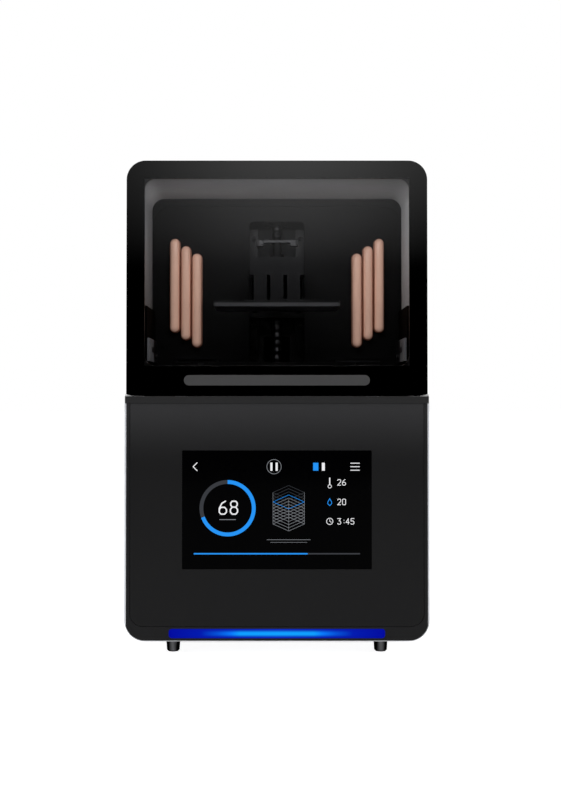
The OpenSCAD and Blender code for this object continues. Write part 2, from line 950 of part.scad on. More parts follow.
module filter_housing() {
    wall = filter_wall;
    color(satin) difference() {
        span([filter_x - filter_w / 2, wall_back, filter_foot],
            [filter_x + filter_w / 2, tower_rear, filter_foot + filter_h]);
        span([filter_x - filter_w / 2 + wall, wall_back + 2 * wall, filter_foot + wall],
            [filter_x + filter_w / 2 - wall, tower_rear + over, filter_foot + filter_h - wall]);
        span([filter_x - filter_w / 4, wall_back - over, filter_foot + 4 * wall],
            [filter_x + filter_w / 4, wall_back + 2 * wall + over, filter_foot + 20 * wall]);
    }
}

module filter_cartridge() {
    gap = 0.5;
    y0 = wall_back + 24;
    y1 = tower_rear - 8;
    pleat_n = 8;
    pleat_w = 6;
    pleat_step = filter_w / 10;
    pleat_deep = 12;
    rim = 12;
    first = filter_x - (pleat_n - 1) / 2 * pleat_step - pleat_w / 2;
    color(black) difference() {
        span([filter_x - filter_w / 2 + filter_wall + gap, y0, filter_foot + filter_wall],
            [filter_x + filter_w / 2 - filter_wall - gap, y1, filter_foot + filter_h - filter_wall - gap]);
        for (i = [0 : pleat_n - 1])
            span([first + i * pleat_step, y1 - pleat_deep, filter_foot + rim],
                [first + i * pleat_step + pleat_w, y1 + over, filter_foot + filter_h - rim]);
    }
}

module filter_cover() {
    grip_r = 8;
    grip_drop = 20;
    color(black) difference() {
        span([filter_x - filter_w / 2 + hatch_in, tower_rear, filter_foot + hatch_in],
            [filter_x + filter_w / 2 - hatch_in, rear_y, filter_foot + filter_h - hatch_in]);
        bar_y(filter_x, filter_foot + filter_h - grip_drop, grip_r, rear_y - over, rear_y + over);
    }
}

module blower_housing() {
    wall = blower_wall;
    mouth_w = 30;
    foot_t = 4;
    left = blower_x - blower_r;
    y0 = wall_back;
    y1 = wall_back + blower_t;
    color(satin) difference() {
        union() {
            bar_y(blower_x, blower_z, blower_r, y0, y1);
            span([left, y0, deck_z], [left + mouth_w + 2 * wall, y1, blower_z]);
            span([left, y0, deck_z], [blower_x + blower_r, y1, deck_z + foot_t]);
        }
        difference() {
            union() {
                bar_y(blower_x, blower_z, blower_r - wall, y0 + wall, y1 - wall);
                span([left + wall, y0 + wall, deck_z + foot_t],
                    [left + wall + mouth_w, y1 - wall, blower_z]);
            }
            bar_y(blower_x, blower_z, blower_pin_r, y0, y0 + blower_pin_l);
        }
        bar_y(blower_x, blower_z, blower_inlet_r, y1 - wall - over, y1 + over);
        span([left + wall, y0 - over, deck_z + 2 * foot_t],
            [left + wall + mouth_w, y0 + wall + over, deck_z + 8 * foot_t]);
    }
}

module blower_rotor() {
    gap = 1;
    wheel_r = 36;
    rim_r = 28;
    vanes = 18;
    vane_t = 1.6;
    disc_t = 3;
    hub_r = 9;
    y0 = wall_back + blower_wall + gap;
    y1 = wall_back + blower_t - blower_wall - gap;
    color(black) difference() {
        union() {
            bar_y(blower_x, blower_z, wheel_r, y0, y0 + disc_t);
            bar_y(blower_x, blower_z, hub_r, y0, y1 - disc_t);
            for (i = [0 : vanes - 1]) translate([blower_x, y0, blower_z]) rotate([0, i * 360 / vanes, 0])
                translate([rim_r, 0, -vane_t / 2]) cube([wheel_r - rim_r - vane_t / 2, y1 - y0, vane_t]);
            difference() {
                bar_y(blower_x, blower_z, wheel_r, y1 - disc_t, y1);
                bar_y(blower_x, blower_z, rim_r, y1 - disc_t - over, y1 + over);
            }
        }
        bar_y(blower_x, blower_z, blower_pin_r + run, y0 - over, wall_back + blower_pin_l + run);
    }
}

module side_guards() {
    guard_front = -55;
    guard_h = 114;
    color(black) both_sides() span([tower_half - guard_t, guard_front, deck_z],
        [tower_half, wall_y, deck_z + guard_h]);
}

module guard_brackets() {
    bracket_t = 2.5;
    bracket_rise = 45;
    bracket_h = 29;
    front = -48;
    foot = deck_z + bracket_rise;
    head_r = 3.6;
    head_t = 2;
    head_in = 20;
    head_rise = 8;
    inner = tower_half - guard_t - bracket_t;
    color(silver) both_sides() {
        span([inner, front, foot], [inner + bracket_t, wall_y, foot + bracket_h]);
        bar_x(wall_y - head_in, foot + head_rise, head_r, inner - head_t, inner);
    }
}

module lamp_holders() {
    rim = 1.25;
    color(copper) both_sides() for (i = [0 : lamp_n - 1])
        upright(wall_y - holder_t, holder_t) translate([lamp_x - i * lamp_step, lamp_z - i * lamp_drop])
            round_rect(lamp_d + 2 * rim, lamp_len + 2 * rim, lamp_d / 2 + rim - 0.01);
}

module heater_lamps() {
    lamp_y = wall_y - holder_t - lamp_d / 2;
    half = lamp_len / 2 - lamp_d / 2;
    color(copper) both_sides() for (i = [0 : lamp_n - 1])
        translate([lamp_x - i * lamp_step, lamp_y, lamp_z - i * lamp_drop]) {
            translate([0, 0, -half]) cylinder(h = 2 * half, d = lamp_d);
            translate([0, 0, half]) sphere(d = lamp_d);
            translate([0, 0, -half]) sphere(d = lamp_d);
        }
}

module pivot_bolts() {
    pin_end = hood_w / 2 - bolt_cover - 2 * skim;
    nut_r = pivot_r + 4;
    nut_t = 6;
    washer_r = pivot_r + 4;
    boss_in = tower_half - boss_l;
    color(steel) both_sides() {
        bar_x(pivot_y, pivot_z, pivot_r, boss_in - nut_t, pin_end);
        bar_x(pivot_y, pivot_z, nut_r, boss_in - nut_t, boss_in);
        bar_x(pivot_y, pivot_z, washer_r, tower_half, hood_in_half - skim);
    }
}

// Lift

module lift_column() {
    deep = 30;
    wall = 6;
    top = bearing_z + bearing_h;
    foot_t = 8;
    foot_d = 46;
    rib_t = 6;
    rib_h = 45;
    port_w = 36;
    port_h = 60;
    port_z = deck_z + 24;
    port_step = 80;
    port_n = 2;
    color(steel) difference() {
        union() {
            span([-column_half, column_front, deck_z], [column_half, column_front + deep, top]);
            span([-column_foot_half, column_front, deck_z],
                [column_foot_half, column_front + foot_d, deck_z + foot_t]);
            both_sides() upright(column_front + deep / 2, rib_t)
                polygon([[column_half, deck_z + foot_t], [column_foot_half, deck_z + foot_t],
                    [column_half, deck_z + foot_t + rib_h]]);
        }
        span([wall - column_half, column_front + wall, deck_z + foot_t],
            [column_half - wall, column_front + deep + over, top + over]);
        for (i = [0 : port_n - 1])
            span([-port_w / 2, column_front - over, port_z + i * port_step],
                [port_w / 2, column_front + wall + over, port_z + i * port_step + port_h]);
        for (sx = [-1, 1]) translate([sx * cable_x, cable_y, deck_z - over])
            cylinder(h = foot_t + 2 * over, r = cable_r);
    }
}

module lift_rails() {
    foot = deck_z + 3;
    top = bearing_z - 3;
    groove_r = 1.6;
    hole_r = 2.2;
    head_r = 3.6;
    head_d = 4;
    hole_step = 40;
    hole_in = 14;
    hole_n = floor((top - foot - 2 * hole_in) / hole_step);
    color(silver) both_sides() difference() {
        span([rail_x - rail_w / 2, rail_front, foot], [rail_x + rail_w / 2, column_front, top]);
        for (x = [rail_x - rail_w / 2, rail_x + rail_w / 2])
            translate([x, rail_front + rail_t / 2, foot - over])
                cylinder(h = top - foot + 2 * over, r = groove_r);
        for (i = [0 : hole_n]) {
            bar_y(rail_x, foot + hole_in + i * hole_step, hole_r, rail_front - over, column_front + over);
            bar_y(rail_x, foot + hole_in + i * hole_step, head_r, rail_front - over, rail_front + head_d);
        }
    }
}

module lift_bearing() {
    flange_half = 20;
    flange_t = 5;
    nose_r = screw_r + 7;
    color(satin) translate([0, screw_y, bearing_z]) difference() {
        union() {
            cylinder(h = bearing_h, r = nose_r);
            span([-nose_r, 0, 0], [nose_r, column_front - screw_y, bearing_h]);
            span([-flange_half, column_front - screw_y - flange_t, 0],
                [flange_half, column_front - screw_y, bearing_h]);
        }
        translate([0, 0, -over]) cylinder(h = bearing_h + 2 * over, r = journal_r + run);
    }
}

module lift_motor() {
    size = 57;
    high = 76;
    flange_t = 6;
    body_r = 8;
    bore_d = 24;
    color(satin) difference() {
        union() {
            translate([0, screw_y, deck_under - high]) linear_extrude(high)
                round_rect(size - 2, size - 2, body_r);
            translate([0, screw_y, deck_under - flange_t]) linear_extrude(flange_t)
                square([size, size], center = true);
        }
        translate([0, screw_y, deck_under - bore_d])
            cylinder(h = bore_d + over, r = shaft_r + run);
    }
}

module lift_screw() {
    journal_up = 2;
    color(silver) translate([0, screw_y, coupling_mid]) {
        cylinder(h = bearing_z - skim - coupling_mid, r = screw_r);
        cylinder(h = bearing_z + bearing_h + journal_up - coupling_mid, r = journal_r);
    }
}

module lift_coupling() {
    sleeve_r = 10;
    sleeve_foot = deck_z + coupling_foot;
    shaft_l = 20;
    shaft_foot = deck_under - shaft_l;
    slit_w = 1.5;
    slit_d = 2;
    slits = 3;
    slit_step = 4;
    color(steel) translate([0, screw_y, 0]) difference() {
        union() {
            translate([0, 0, sleeve_foot]) cylinder(h = coupling_top - sleeve_foot, r = sleeve_r);
            translate([0, 0, shaft_foot]) cylinder(h = coupling_mid - shaft_foot, r = shaft_r);
        }
        translate([0, 0, coupling_mid]) cylinder(h = coupling_top - coupling_mid + over, r = screw_r);
        for (i = [0 : slits - 1])
            translate([0, 0, sleeve_foot + slit_step / 2 + i * slit_step]) difference() {
                cylinder(h = slit_w, r = sleeve_r + over);
                translate([0, 0, -over]) cylinder(h = slit_w + 2 * over, r = sleeve_r - slit_d);
            }
    }
}

module carriage() {
    half = column_half + 1;
    block_half = 12;
    block_back = column_front - block_gap;
    block_foot = carriage_foot + 5;
    block_top = carriage_foot + carriage_h - 3;
    head_r = 4;
    head_d = 5;
    head_in = 9;
    corner = 5;
    color(satin) {
        difference() {
            upright(carriage_front, carriage_t) translate([0, carriage_foot + carriage_h / 2])
                round_rect(2 * half, carriage_h, corner);
            both_sides() for (z = [block_foot + head_in, block_top - head_in])
                bar_y(rail_x + head_r, z, head_r, carriage_front - over, carriage_front + head_d);
        }
        both_sides() difference() {
            span([rail_x - block_half, carriage_back, block_foot],
                [rail_x + block_half, block_back, block_top]);
            span([rail_x - rail_w / 2 - run, rail_front - run, block_foot - over],
                [rail_x + rail_w / 2 + run, block_back + over, block_top + over]);
        }
    }
}

// Flanged nut on its bracket
module lift_nut() {
    bracket_h = 12;
    flange_r = 13;
    flange_t = 6;
    barrel_r = 10;
    barrel_l = 16;
    bracket_rise = 44;
    bracket_foot = carriage_foot + bracket_rise;
    color(copper) difference() {
        union() {
            span([-flange_r, carriage_back, bracket_foot], [flange_r, screw_y, bracket_foot + bracket_h]);
            translate([0, screw_y, bracket_foot]) cylinder(h = bracket_h + flange_t, r = flange_r);
            translate([0, screw_y, bracket_foot - barrel_l]) cylinder(h = barrel_l, r = barrel_r);
        }
        translate([0, screw_y, bracket_foot - barrel_l - over])
            cylinder(h = barrel_l + bracket_h + flange_t + 2 * over, r = screw_r + run);
    }
}

// Platform

module platform_arm() {
    web_t = 6;
    web_l = 58;
    web_front = carriage_front - web_l;
    web_foot = carriage_foot + 5;
    pocket_w = block_w - 18;
    pocket_front = mount_rear + 5;
    pocket_rear = carriage_front - mount_half;
    pocket_floor = arm_foot + 7;
    color(satin) difference() {
        union() {
            span([-block_w / 2, arm_front, arm_foot], [block_w / 2, carriage_front, arm_top]);
            both_sides() sideways(block_w / 2 - web_t, web_t)
                polygon([[web_front, arm_foot], [carriage_front, web_foot], [carriage_front, arm_foot]]);
        }
        span([-pocket_w / 2, pocket_front, pocket_floor], [pocket_w / 2, pocket_rear, arm_top + over]);
        translate([0, spindle_y, arm_foot - over])
            cylinder(h = arm_t + 2 * over, r = spindle_r + run);
    }
}

module platform_mount() {
    rib_w = 16;
    rib_step = 20.5;
    base_x = 40;
    base_out = 5;
    base_front = arm_front - base_out;
    base_rear = mount_rear + base_out;
    bore_d = 18;
    color(satin) difference() {
        union() {
            span([-base_x, base_front, plate_top], [base_x, base_rear, plate_top + mount_base_t]);
            for (i = [-1 : 1])
                span([i * rib_step - rib_w / 2, arm_front, plate_top + mount_base_t],
                    [i * rib_step + rib_w / 2, mount_rear, arm_foot - mount_top_t]);
            span([-block_w / 2, arm_front, arm_foot - mount_top_t],
                [block_w / 2, mount_rear, arm_foot]);
        }
        translate([0, spindle_y, arm_foot - bore_d])
            cylinder(h = bore_d + over, r = spindle_r + run);
    }
}

module build_plate() {
    edge_r = 3;
    color(steel) translate([0, -vat_y, plate_z]) linear_extrude(plate_t)
        round_rect(plate_w, plate_d, edge_r);
}

module platform_latch() {
    bar_w = 51.6;
    bar_d = 12;
    bar_t = 3.2;
    end_r = 5;
    leg_w = 9.5;
    leg_h = 4;
    rise = 19;
    collar_r = 9;
    collar_h = 4;
    end_z = arm_foot - 17;
    bar_z = arm_top + rise;
    color(satin) translate([0, spindle_y, 0]) {
        translate([0, 0, end_z]) cylinder(h = bar_z - end_z, r = spindle_r);
        translate([0, 0, arm_top + skim]) cylinder(h = collar_h, r = collar_r);
        translate([0, 0, bar_z]) linear_extrude(bar_t) round_rect(bar_w, bar_d, end_r);
        translate([0, 0, bar_z - leg_h]) linear_extrude(leg_h) difference() {
            round_rect(bar_w, bar_d, end_r);
            square([bar_w - 2 * leg_w, bar_d + over], center = true);
        }
    }
}

// Vat

module vat_frame() {
    lip_h = 3;
    lip_out = 2.5;
    ear_r = 4;
    spout_r = 7;
    spout_up = 3;
    color(satin) difference() {
        union() {
            translate([0, -vat_y, film_top]) linear_extrude(deck_z + vat_h - film_top)
                round_rect(vat_out_w, vat_out_d, vat_out_r);
            translate([0, -vat_y, deck_z + vat_h - lip_h]) linear_extrude(lip_h)
                round_rect(vat_out_w + 2 * lip_out, vat_out_d + 2 * lip_out, vat_out_r);
            translate([0, -vat_y, film_top]) linear_extrude(ear_h)
                round_rect(vat_out_w + 2 * ear_w, ear_d, ear_r);
        }
        translate([0, -vat_y, film_top - over]) linear_extrude(vat_h + 2 * over)
            round_rect(vat_in_w, vat_in_d, vat_in_r);
        translate([vat_in_r - vat_in_w / 2, vat_in_r - vat_y - vat_in_d / 2, deck_z + vat_h + spout_up])
            rotate([90, 0, -45]) cylinder(h = 3 * vat_wall, r = spout_r);
    }
}

module vat_film() {
    inset = 2;
    ring_in = 2;
    color(resin) {
        translate([0, -vat_y, deck_z]) linear_extrude(ring_t) difference() {
            round_rect(vat_out_w - 2 * inset, vat_out_d - 2 * inset, vat_out_r - inset);
            round_rect(vat_in_w - 2 * ring_in, vat_in_d - 2 * ring_in, vat_in_r);
        }
        translate([0, -vat_y, deck_z + ring_t]) linear_extrude(film_t)
            round_rect(vat_out_w - 2 * inset, vat_out_d - 2 * inset, vat_out_r - inset);
    }
}

// Clamp that turns over an ear of the vat, drawn for the right side
module vat_clamp() {
    hub_r = 8;
    arm_l = 22;
    arm_w = 13;
    arm_t2 = 6;
    grip_l = 20;
    grip_w = 4;
    grip_h = 9;
    arm_z = film_top + ear_h + skim;
    pin_foot = deck_under + 1;
    translate([clamp_x, -vat_y, 0]) {
        translate([0, 0, pin_foot]) cylinder(h = deck_z - pin_foot + over, r = clamp_pin_r);
        translate([0, 0, deck_z + skim]) cylinder(h = arm_z + arm_t2 - deck_z - skim, r = hub_r);
        span([-arm_l, -arm_w / 2, arm_z], [0, arm_w / 2, arm_z + arm_t2]);
        span([-grip_l / 2, -grip_w / 2, arm_z + arm_t2], [grip_l / 2, grip_w / 2, arm_z + arm_t2 + grip_h]);
    }
}

module vat_clamp_right() {
    color(silver) vat_clamp();
}

module vat_clamp_left() {
    color(silver) mirror([1, 0, 0]) vat_clamp();
}

// Hood

// Slanted relief of the hood's two lower corners, from y to y + t
module corner_relief(y, t) {
    both_sides() upright(y, t) polygon([
        [hood_w / 2 - relief_w, hood_foot],
        [hood_w / 2, hood_foot + relief_h],
        [hood_w / 2 + over, hood_foot + relief_h],
        [hood_w / 2 + over, hood_foot - over],
        [hood_w / 2 - relief_w, hood_foot - over]
    ]);
}

module hood_shell() {
    bore_end = hood_w / 2 - bolt_cover;
    color(black) difference() {
        union() {
            upright(hood_front, rear_y - hood_front) difference() {
                loaf(hood_w, hood_foot, hood_top, corner_r);
                loaf(2 * hood_in_half, hood_foot - over, hood_top - hood_wall, corner_r - hood_wall);
            }
            upright(hood_front, mask_t) difference() {
                loaf(hood_w - over, hood_foot, hood_top - over, corner_r);
                translate([0, (window_foot + window_top) / 2])
                    round_rect(window_w, window_top - window_foot, window_r);
            }
        }
        both_sides() bar_x(pivot_y, pivot_z, pivot_r + run, hood_in_half - over, bore_end);
        corner_relief(hood_front - over, rear_y - hood_front + 2 * over);
    }
}

module visor() {
    pocket = 1;
    color(smoke) difference() {
        upright(front_y, visor_t) loaf(hood_w, hood_foot, hood_top, corner_r);
        upright(front_y - over, pocket + over) translate([0, grip_z])
            round_rect(grip_w + 2 * fit, grip_h + 2 * fit, grip_h / 2 + fit - 0.01);
        corner_relief(front_y - over, visor_t + 2 * over);
    }
}

module grip_strip() {
    pocket = 1;
    proud = 0.6;
    color(silver) upright(front_y - proud, proud + pocket) translate([0, grip_z])
        round_rect(grip_w, grip_h, grip_h / 2 - 0.01);
}

base_shell();
front_frame();
front_panel();
rear_panel();
chassis_tray();
deck_posts();
rubber_feet();
deck_plate();
deck_glass();
deck_seal();
display_glass();
display_module();
light_strip();
light_strip_board();
projector_body();
projector_lens();
projector_bracket();
projector_fan_frame();
projector_fan_rotor();
power_supply();
main_board();
mains_inlet();
power_rocker();
rocker_frame();
data_ports();
exhaust_fan_frame();
exhaust_fan_rotor();
tower_shell();
tower_back();
chamber_wall();
chamber_light();
filter_housing();
filter_cartridge();
filter_cover();
blower_housing();
blower_rotor();
side_guards();
guard_brackets();
heater_lamps();
lamp_holders();
pivot_bolts();
lift_column();
lift_rails();
lift_bearing();
lift_motor();
lift_screw();
lift_coupling();
carriage();
lift_nut();
platform_arm();
platform_mount();
build_plate();
platform_latch();
vat_frame();
vat_film();
vat_clamp_left();
vat_clamp_right();
hood_shell();
visor();
grip_strip();
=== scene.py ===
import bpy
import bmesh
import math
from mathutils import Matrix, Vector


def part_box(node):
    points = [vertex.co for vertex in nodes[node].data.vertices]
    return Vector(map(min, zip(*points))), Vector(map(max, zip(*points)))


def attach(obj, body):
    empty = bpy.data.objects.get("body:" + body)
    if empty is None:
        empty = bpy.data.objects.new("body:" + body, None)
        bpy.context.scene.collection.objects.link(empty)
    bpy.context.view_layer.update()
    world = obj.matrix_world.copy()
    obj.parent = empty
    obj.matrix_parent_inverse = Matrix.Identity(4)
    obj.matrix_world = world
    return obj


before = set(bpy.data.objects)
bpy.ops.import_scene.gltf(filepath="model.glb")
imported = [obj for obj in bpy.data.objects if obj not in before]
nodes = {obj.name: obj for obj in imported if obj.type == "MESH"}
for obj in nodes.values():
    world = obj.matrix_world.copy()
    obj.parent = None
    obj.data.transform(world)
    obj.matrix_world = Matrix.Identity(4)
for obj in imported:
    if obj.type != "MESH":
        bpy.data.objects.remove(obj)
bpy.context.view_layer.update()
scene = bpy.context.scene
scene.view_settings.view_transform = "Standard"


# Base shell: one sheet of aluminium bent round the sides and floor of the base.
# It is sprayed in a fine metallic silver, and its cut edge shows round the black front.

def feed(tree, slot, value):
    """Gives a slot of a finish its number or colour, or joins another node to it."""
    if isinstance(value, bpy.types.NodeSocket):
        tree.links.new(value, slot)
    else:
        slot.default_value = value


def graded(tree, value, source, target=(0.0, 1.0), smooth=False):
    """Turns a measure between two marks into a number between two others."""
    node = tree.nodes.new("ShaderNodeMapRange")
    if smooth:
        node.interpolation_type = "SMOOTHSTEP"
    for slot, number in zip(("From Min", "From Max", "To Min", "To Max"), (*source, *target)):
        node.inputs[slot].default_value = number
    feed(tree, node.inputs["Value"], value)
    return node.outputs["Result"]


def blended(tree, factor, first, second):
    """A colour between two others."""
    node = tree.nodes.new("ShaderNodeMix")
    node.data_type = "RGBA"
    for slot, value in zip(("Factor", "A", "B"), (factor, first, second)):
        feed(tree, node.inputs[slot], value)
    return node.outputs["Result"]


def clouded(tree, scale, detail=2.0, place=None):
    """An uneven pattern, finer for a larger scale."""
    node = tree.nodes.new("ShaderNodeTexNoise")
    node.inputs["Scale"].default_value = scale
    node.inputs["Detail"].default_value = detail
    if place:
        feed(tree, node.inputs["Vector"], place)
    return node.outputs["Fac"]


def painted(name, colour, rough, metal=0.0, grain=700.0, relief=0.04, mottle=0.06, edge=0.0006, specular=0.5):
    """Paint or moulded plastic: a faint mottle in the colour, fine grit in the gloss, softened edges."""
    material = bpy.data.materials.new(name)
    material.use_nodes = True
    tree = material.node_tree
    shader = tree.nodes["Principled BSDF"]
    place = tree.nodes.new("ShaderNodeTexCoord").outputs["Object"]
    darker, lighter = [[c * (1 + side * mottle) for c in colour] + [1] for side in (-1, 1)]
    feed(tree, shader.inputs["Base Color"], blended(tree, clouded(tree, 18.0, 5.0, place), darker, lighter))
    grit = clouded(tree, grain, 3.0, place)
    gloss = graded(tree, grit, (0.3, 0.7), (max(0.02, rough - 0.05), rough + 0.05))
    feed(tree, shader.inputs["Roughness"], gloss)
    skin = tree.nodes.new("ShaderNodeBump")
    skin.inputs["Strength"].default_value = relief
    skin.inputs["Distance"].default_value = 0.0004
    feed(tree, skin.inputs["Height"], grit)
    if edge:
        soft = tree.nodes.new("ShaderNodeBevel")
        soft.samples = 4
        soft.inputs["Radius"].default_value = edge
        feed(tree, skin.inputs["Normal"], soft.outputs["Normal"])
    feed(tree, shader.inputs["Normal"], skin.outputs["Normal"])
    shader.inputs["Metallic"].default_value = metal
    shader.inputs["Specular IOR Level"].default_value = specular
    return material


def dress(material, *names):
    """Gives CAD nodes their finish."""
    for name in names:
        slots = nodes[name].data.materials
        slots.clear()
        slots.append(material)


silver_paint = painted("silver_paint", (0.74, 0.755, 0.79), 0.38, metal=0.12, grain=2600, relief=0.05)
dress(silver_paint, "base_shell")


# Front frame and front panel: two flat sheets in the same satin black, parted by a hair seam.
# The frame carries the status light in a slot and has a painted highlight along its outer edges, and the
# panel carries the touch screen.

def spot_on(tree):
    """Where a spot lies on its piece, as X, Y and Z in metres."""
    place = tree.nodes.new("ShaderNodeTexCoord")
    parts = tree.nodes.new("ShaderNodeSeparateXYZ")
    feed(tree, parts.inputs["Vector"], place.outputs["Object"])
    return parts.outputs


def measure(tree, operation, *values):
    """One sum of a finish, such as how far a spot lies from an edge."""
    node = tree.nodes.new("ShaderNodeMath")
    node.operation = operation
    for slot, value in zip(node.inputs, values):
        feed(tree, slot, value)
    return node.outputs["Value"]


def shaded(material, level):
    """Makes a finish paler or darker, by a level that differs from spot to spot."""
    tree = material.node_tree
    colour = tree.nodes["Principled BSDF"].inputs["Base Color"]
    scaled = tree.nodes.new("ShaderNodeVectorMath")
    scaled.operation = "SCALE"
    feed(tree, scaled.inputs[0], colour.links[0].from_socket)
    feed(tree, scaled.inputs["Scale"], level)
    feed(tree, colour, scaled.outputs["Vector"])


def painted_light_upwards(material, foot, top, low, high):
    """Paints light and shade into the colour: paler towards the top and darker towards the foot, as light
    falls from above.
    """
    tree = material.node_tree
    shaded(material, graded(tree, spot_on(tree)["Z"], (foot, top), (low, high), smooth=True))


def recoloured(material, mask, colour):
    """Lays another colour over a finish where the mask is 1."""
    tree = material.node_tree
    slot = tree.nodes["Principled BSDF"].inputs["Base Color"]
    feed(tree, slot, blended(tree, mask, slot.links[0].from_socket, colour))


highlight_width = 0.0006
front_paint = painted("front_paint", (0.010, 0.010, 0.0105), 0.42, grain=1500, relief=0.03, specular=0.1)
# painted sheen: the frame's black is painted paler towards its top
painted_light_upwards(front_paint, 0.22, 0.31, 1.0, 2.7)
tree = front_paint.node_tree
# painted highlight: the outer edges of the frame are painted silver grey
from_middle = measure(tree, "ABSOLUTE", spot_on(tree)["X"])
edge_highlight = measure(tree, "GREATER_THAN", from_middle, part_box("front_frame")[1].x - highlight_width)
recoloured(front_paint, edge_highlight, (0.80, 0.81, 0.84, 1))
panel_paint = painted("panel_paint", (0.0080, 0.0080, 0.0084), 0.42, grain=1500, relief=0.03, specular=0.1)
# painted sheen: the panel's black is painted paler towards its top
painted_light_upwards(panel_paint, 0.215, 0.305, 1.0, 5.0)
dress(front_paint, "front_frame")
dress(panel_paint, "front_panel")


# Deck plate: a thick flat sheet between the base and the hood, in a satin grey black.
# Bare steel posts, tray and brackets in the base carry it and the works below it.

deck_paint = painted("deck_paint", (0.020, 0.020, 0.0205), 0.42, grain=1500, relief=0.03, specular=0.15)
dress(deck_paint, "deck_plate")
post_steel = painted("post_steel", (0.5, 0.51, 0.53), 0.35, metal=1.0, grain=500, relief=0.03)
dress(post_steel, "deck_posts", "chassis_tray", "projector_bracket", "power_supply")


# Rubber feet: four turned feet pressed onto the floor of the shell.
# Matt black rubber, with a painted highlight down the middle of each foot. The deck seal is of the same
# rubber.

foot_middle = 0.121
highlight_half = 0.0052
highlight_levels = (22.0, 0.1)
foot_rubber = painted("foot_rubber", (0.012, 0.012, 0.0122), 0.62, grain=900, relief=0.25, mottle=0.25,
                      specular=0.04)
tree = foot_rubber.node_tree
to_side = measure(tree, "SUBTRACT", measure(tree, "ABSOLUTE", spot_on(tree)["X"]), foot_middle)
off_middle = measure(tree, "ABSOLUTE", to_side)
# painted highlight: each foot is painted paler down its middle
shaded(foot_rubber, graded(tree, off_middle, (0.0, highlight_half), highlight_levels, smooth=True))
tree.nodes["Principled BSDF"].inputs["IOR"].default_value = 1.0
dress(foot_rubber, "rubber_feet", "deck_seal")


# Status light: a moulded lens bar in a slot of the front frame, lit blue from its board behind.
# It is brightest in the middle, and a paler core runs along it.

def ramped(tree, value, *stops):
    """A colour that runs through its stops, from the first to the last."""
    node = tree.nodes.new("ShaderNodeValToRGB")
    ramp = node.color_ramp.elements
    for end, (spot, shade) in ((0, stops[0]), (1, stops[-1])):
        ramp[end].position = spot
        ramp[end].color = (*shade, 1)
    for spot, shade in stops[1:-1]:
        ramp.new(spot).color = (*shade, 1)
    feed(tree, node.inputs["Fac"], value)
    return node.outputs["Color"]


strip_reach = 0.124
core_edge, strip_edge = 0.0004, 0.0044
strip_low, strip_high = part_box("light_strip")
strip_lens = bpy.data.materials.new("strip_lens")
strip_lens.use_nodes = True
tree = strip_lens.node_tree
shader = tree.nodes["Principled BSDF"]
spot = spot_on(tree)
along = graded(tree, measure(tree, "ABSOLUTE", spot["X"]), (0.0, strip_reach))
core = ramped(tree, along, (0.0, (0.006, 0.36, 1.0)), (0.34, (0.005, 0.35, 1.0)), (0.42, (0.003, 0.19, 0.95)),
              (0.54, (0.0015, 0.085, 0.68)), (0.70, (0.0008, 0.011, 0.42)), (1.0, (0.001, 0.003, 0.33)))
rim = ramped(tree, along, (0.0, (0.004, 0.022, 0.50)), (1.0, (0.001, 0.004, 0.34)))
off_core = measure(tree, "ABSOLUTE", measure(tree, "SUBTRACT", spot["Z"], (strip_low.z + strip_high.z) / 2))
glow = blended(tree, graded(tree, off_core, (core_edge, strip_edge), smooth=True), core, rim)
feed(tree, shader.inputs["Emission Color"], glow)
shader.inputs["Emission Strength"].default_value = 1.0
shader.inputs["Base Color"].default_value = (0.0005, 0.001, 0.02, 1)
shader.inputs["Roughness"].default_value = 0.35
shader.inputs["Specular IOR Level"].default_value = 0.0
dress(strip_lens, "light_strip")
board_mask = painted("board_mask", (0.01, 0.09, 0.045), 0.4, grain=300, relief=0.1, mottle=0.2)
dress(board_mask, "light_strip_board", "main_board")


# Touch screen: a black glass front over a display panel, flush in the front panel.
# The picture is a plain status page: a ring that counts, a sliced block, readings and keys.

screen_black = painted("screen_black", (0.0006, 0.0006, 0.0008), 0.08, grain=200, relief=0.0, mottle=0.2,
                       edge=0, specular=0.01)
dress(screen_black, "display_glass")
module_black = painted("module_black", (0.02, 0.02, 0.022), 0.5, grain=800, relief=0.1)
dress(module_black, "display_module", "rear_panel")
screen_low, screen_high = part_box("display_glass")
picture_y = screen_low.y - 0.00006
picture_layer = 0.00002
picture_left = screen_low.x
picture_top = screen_high.z


def lit(name, colour):
    """A lit patch of the screen, its light a little uneven from pixel to pixel."""
    material = bpy.data.materials.new(name)
    material.use_nodes = True
    tree = material.node_tree
    shader = tree.nodes["Principled BSDF"]
    light = blended(tree, clouded(tree, 4000.0), [c * 0.92 for c in colour] + [1], [*colour, 1])
    feed(tree, shader.inputs["Emission Color"], light)
    shader.inputs["Emission Strength"].default_value = 1.0
    shader.inputs["Base Color"].default_value = (0.002, 0.002, 0.002, 1)
    shader.inputs["Roughness"].default_value = 0.3
    shader.inputs["Specular IOR Level"].default_value = 0.1
    return material


pixel_white = lit("pixel_white", (0.9, 0.9, 0.92))
pixel_grey = lit("pixel_grey", (0.22, 0.23, 0.25))
pixel_dim = lit("pixel_dim", (0.035, 0.038, 0.045))
pixel_blue = lit("pixel_blue", (0.012, 0.30, 0.95))
picture = {ink: bmesh.new() for ink in (pixel_white, pixel_grey, pixel_dim, pixel_blue)}


def patch(ink, outline, layer=0):
    """A flat lit shape, its corners in millimetres right of and below the screen's upper left corner."""
    mesh = picture[ink]
    y = picture_y - layer * picture_layer
    corners = [mesh.verts.new((picture_left + u / 1000, y, picture_top - v / 1000)) for u, v in outline]
    face = mesh.faces.new(corners)
    face.normal_update()
    if face.normal.y > 0:
        face.normal_flip()


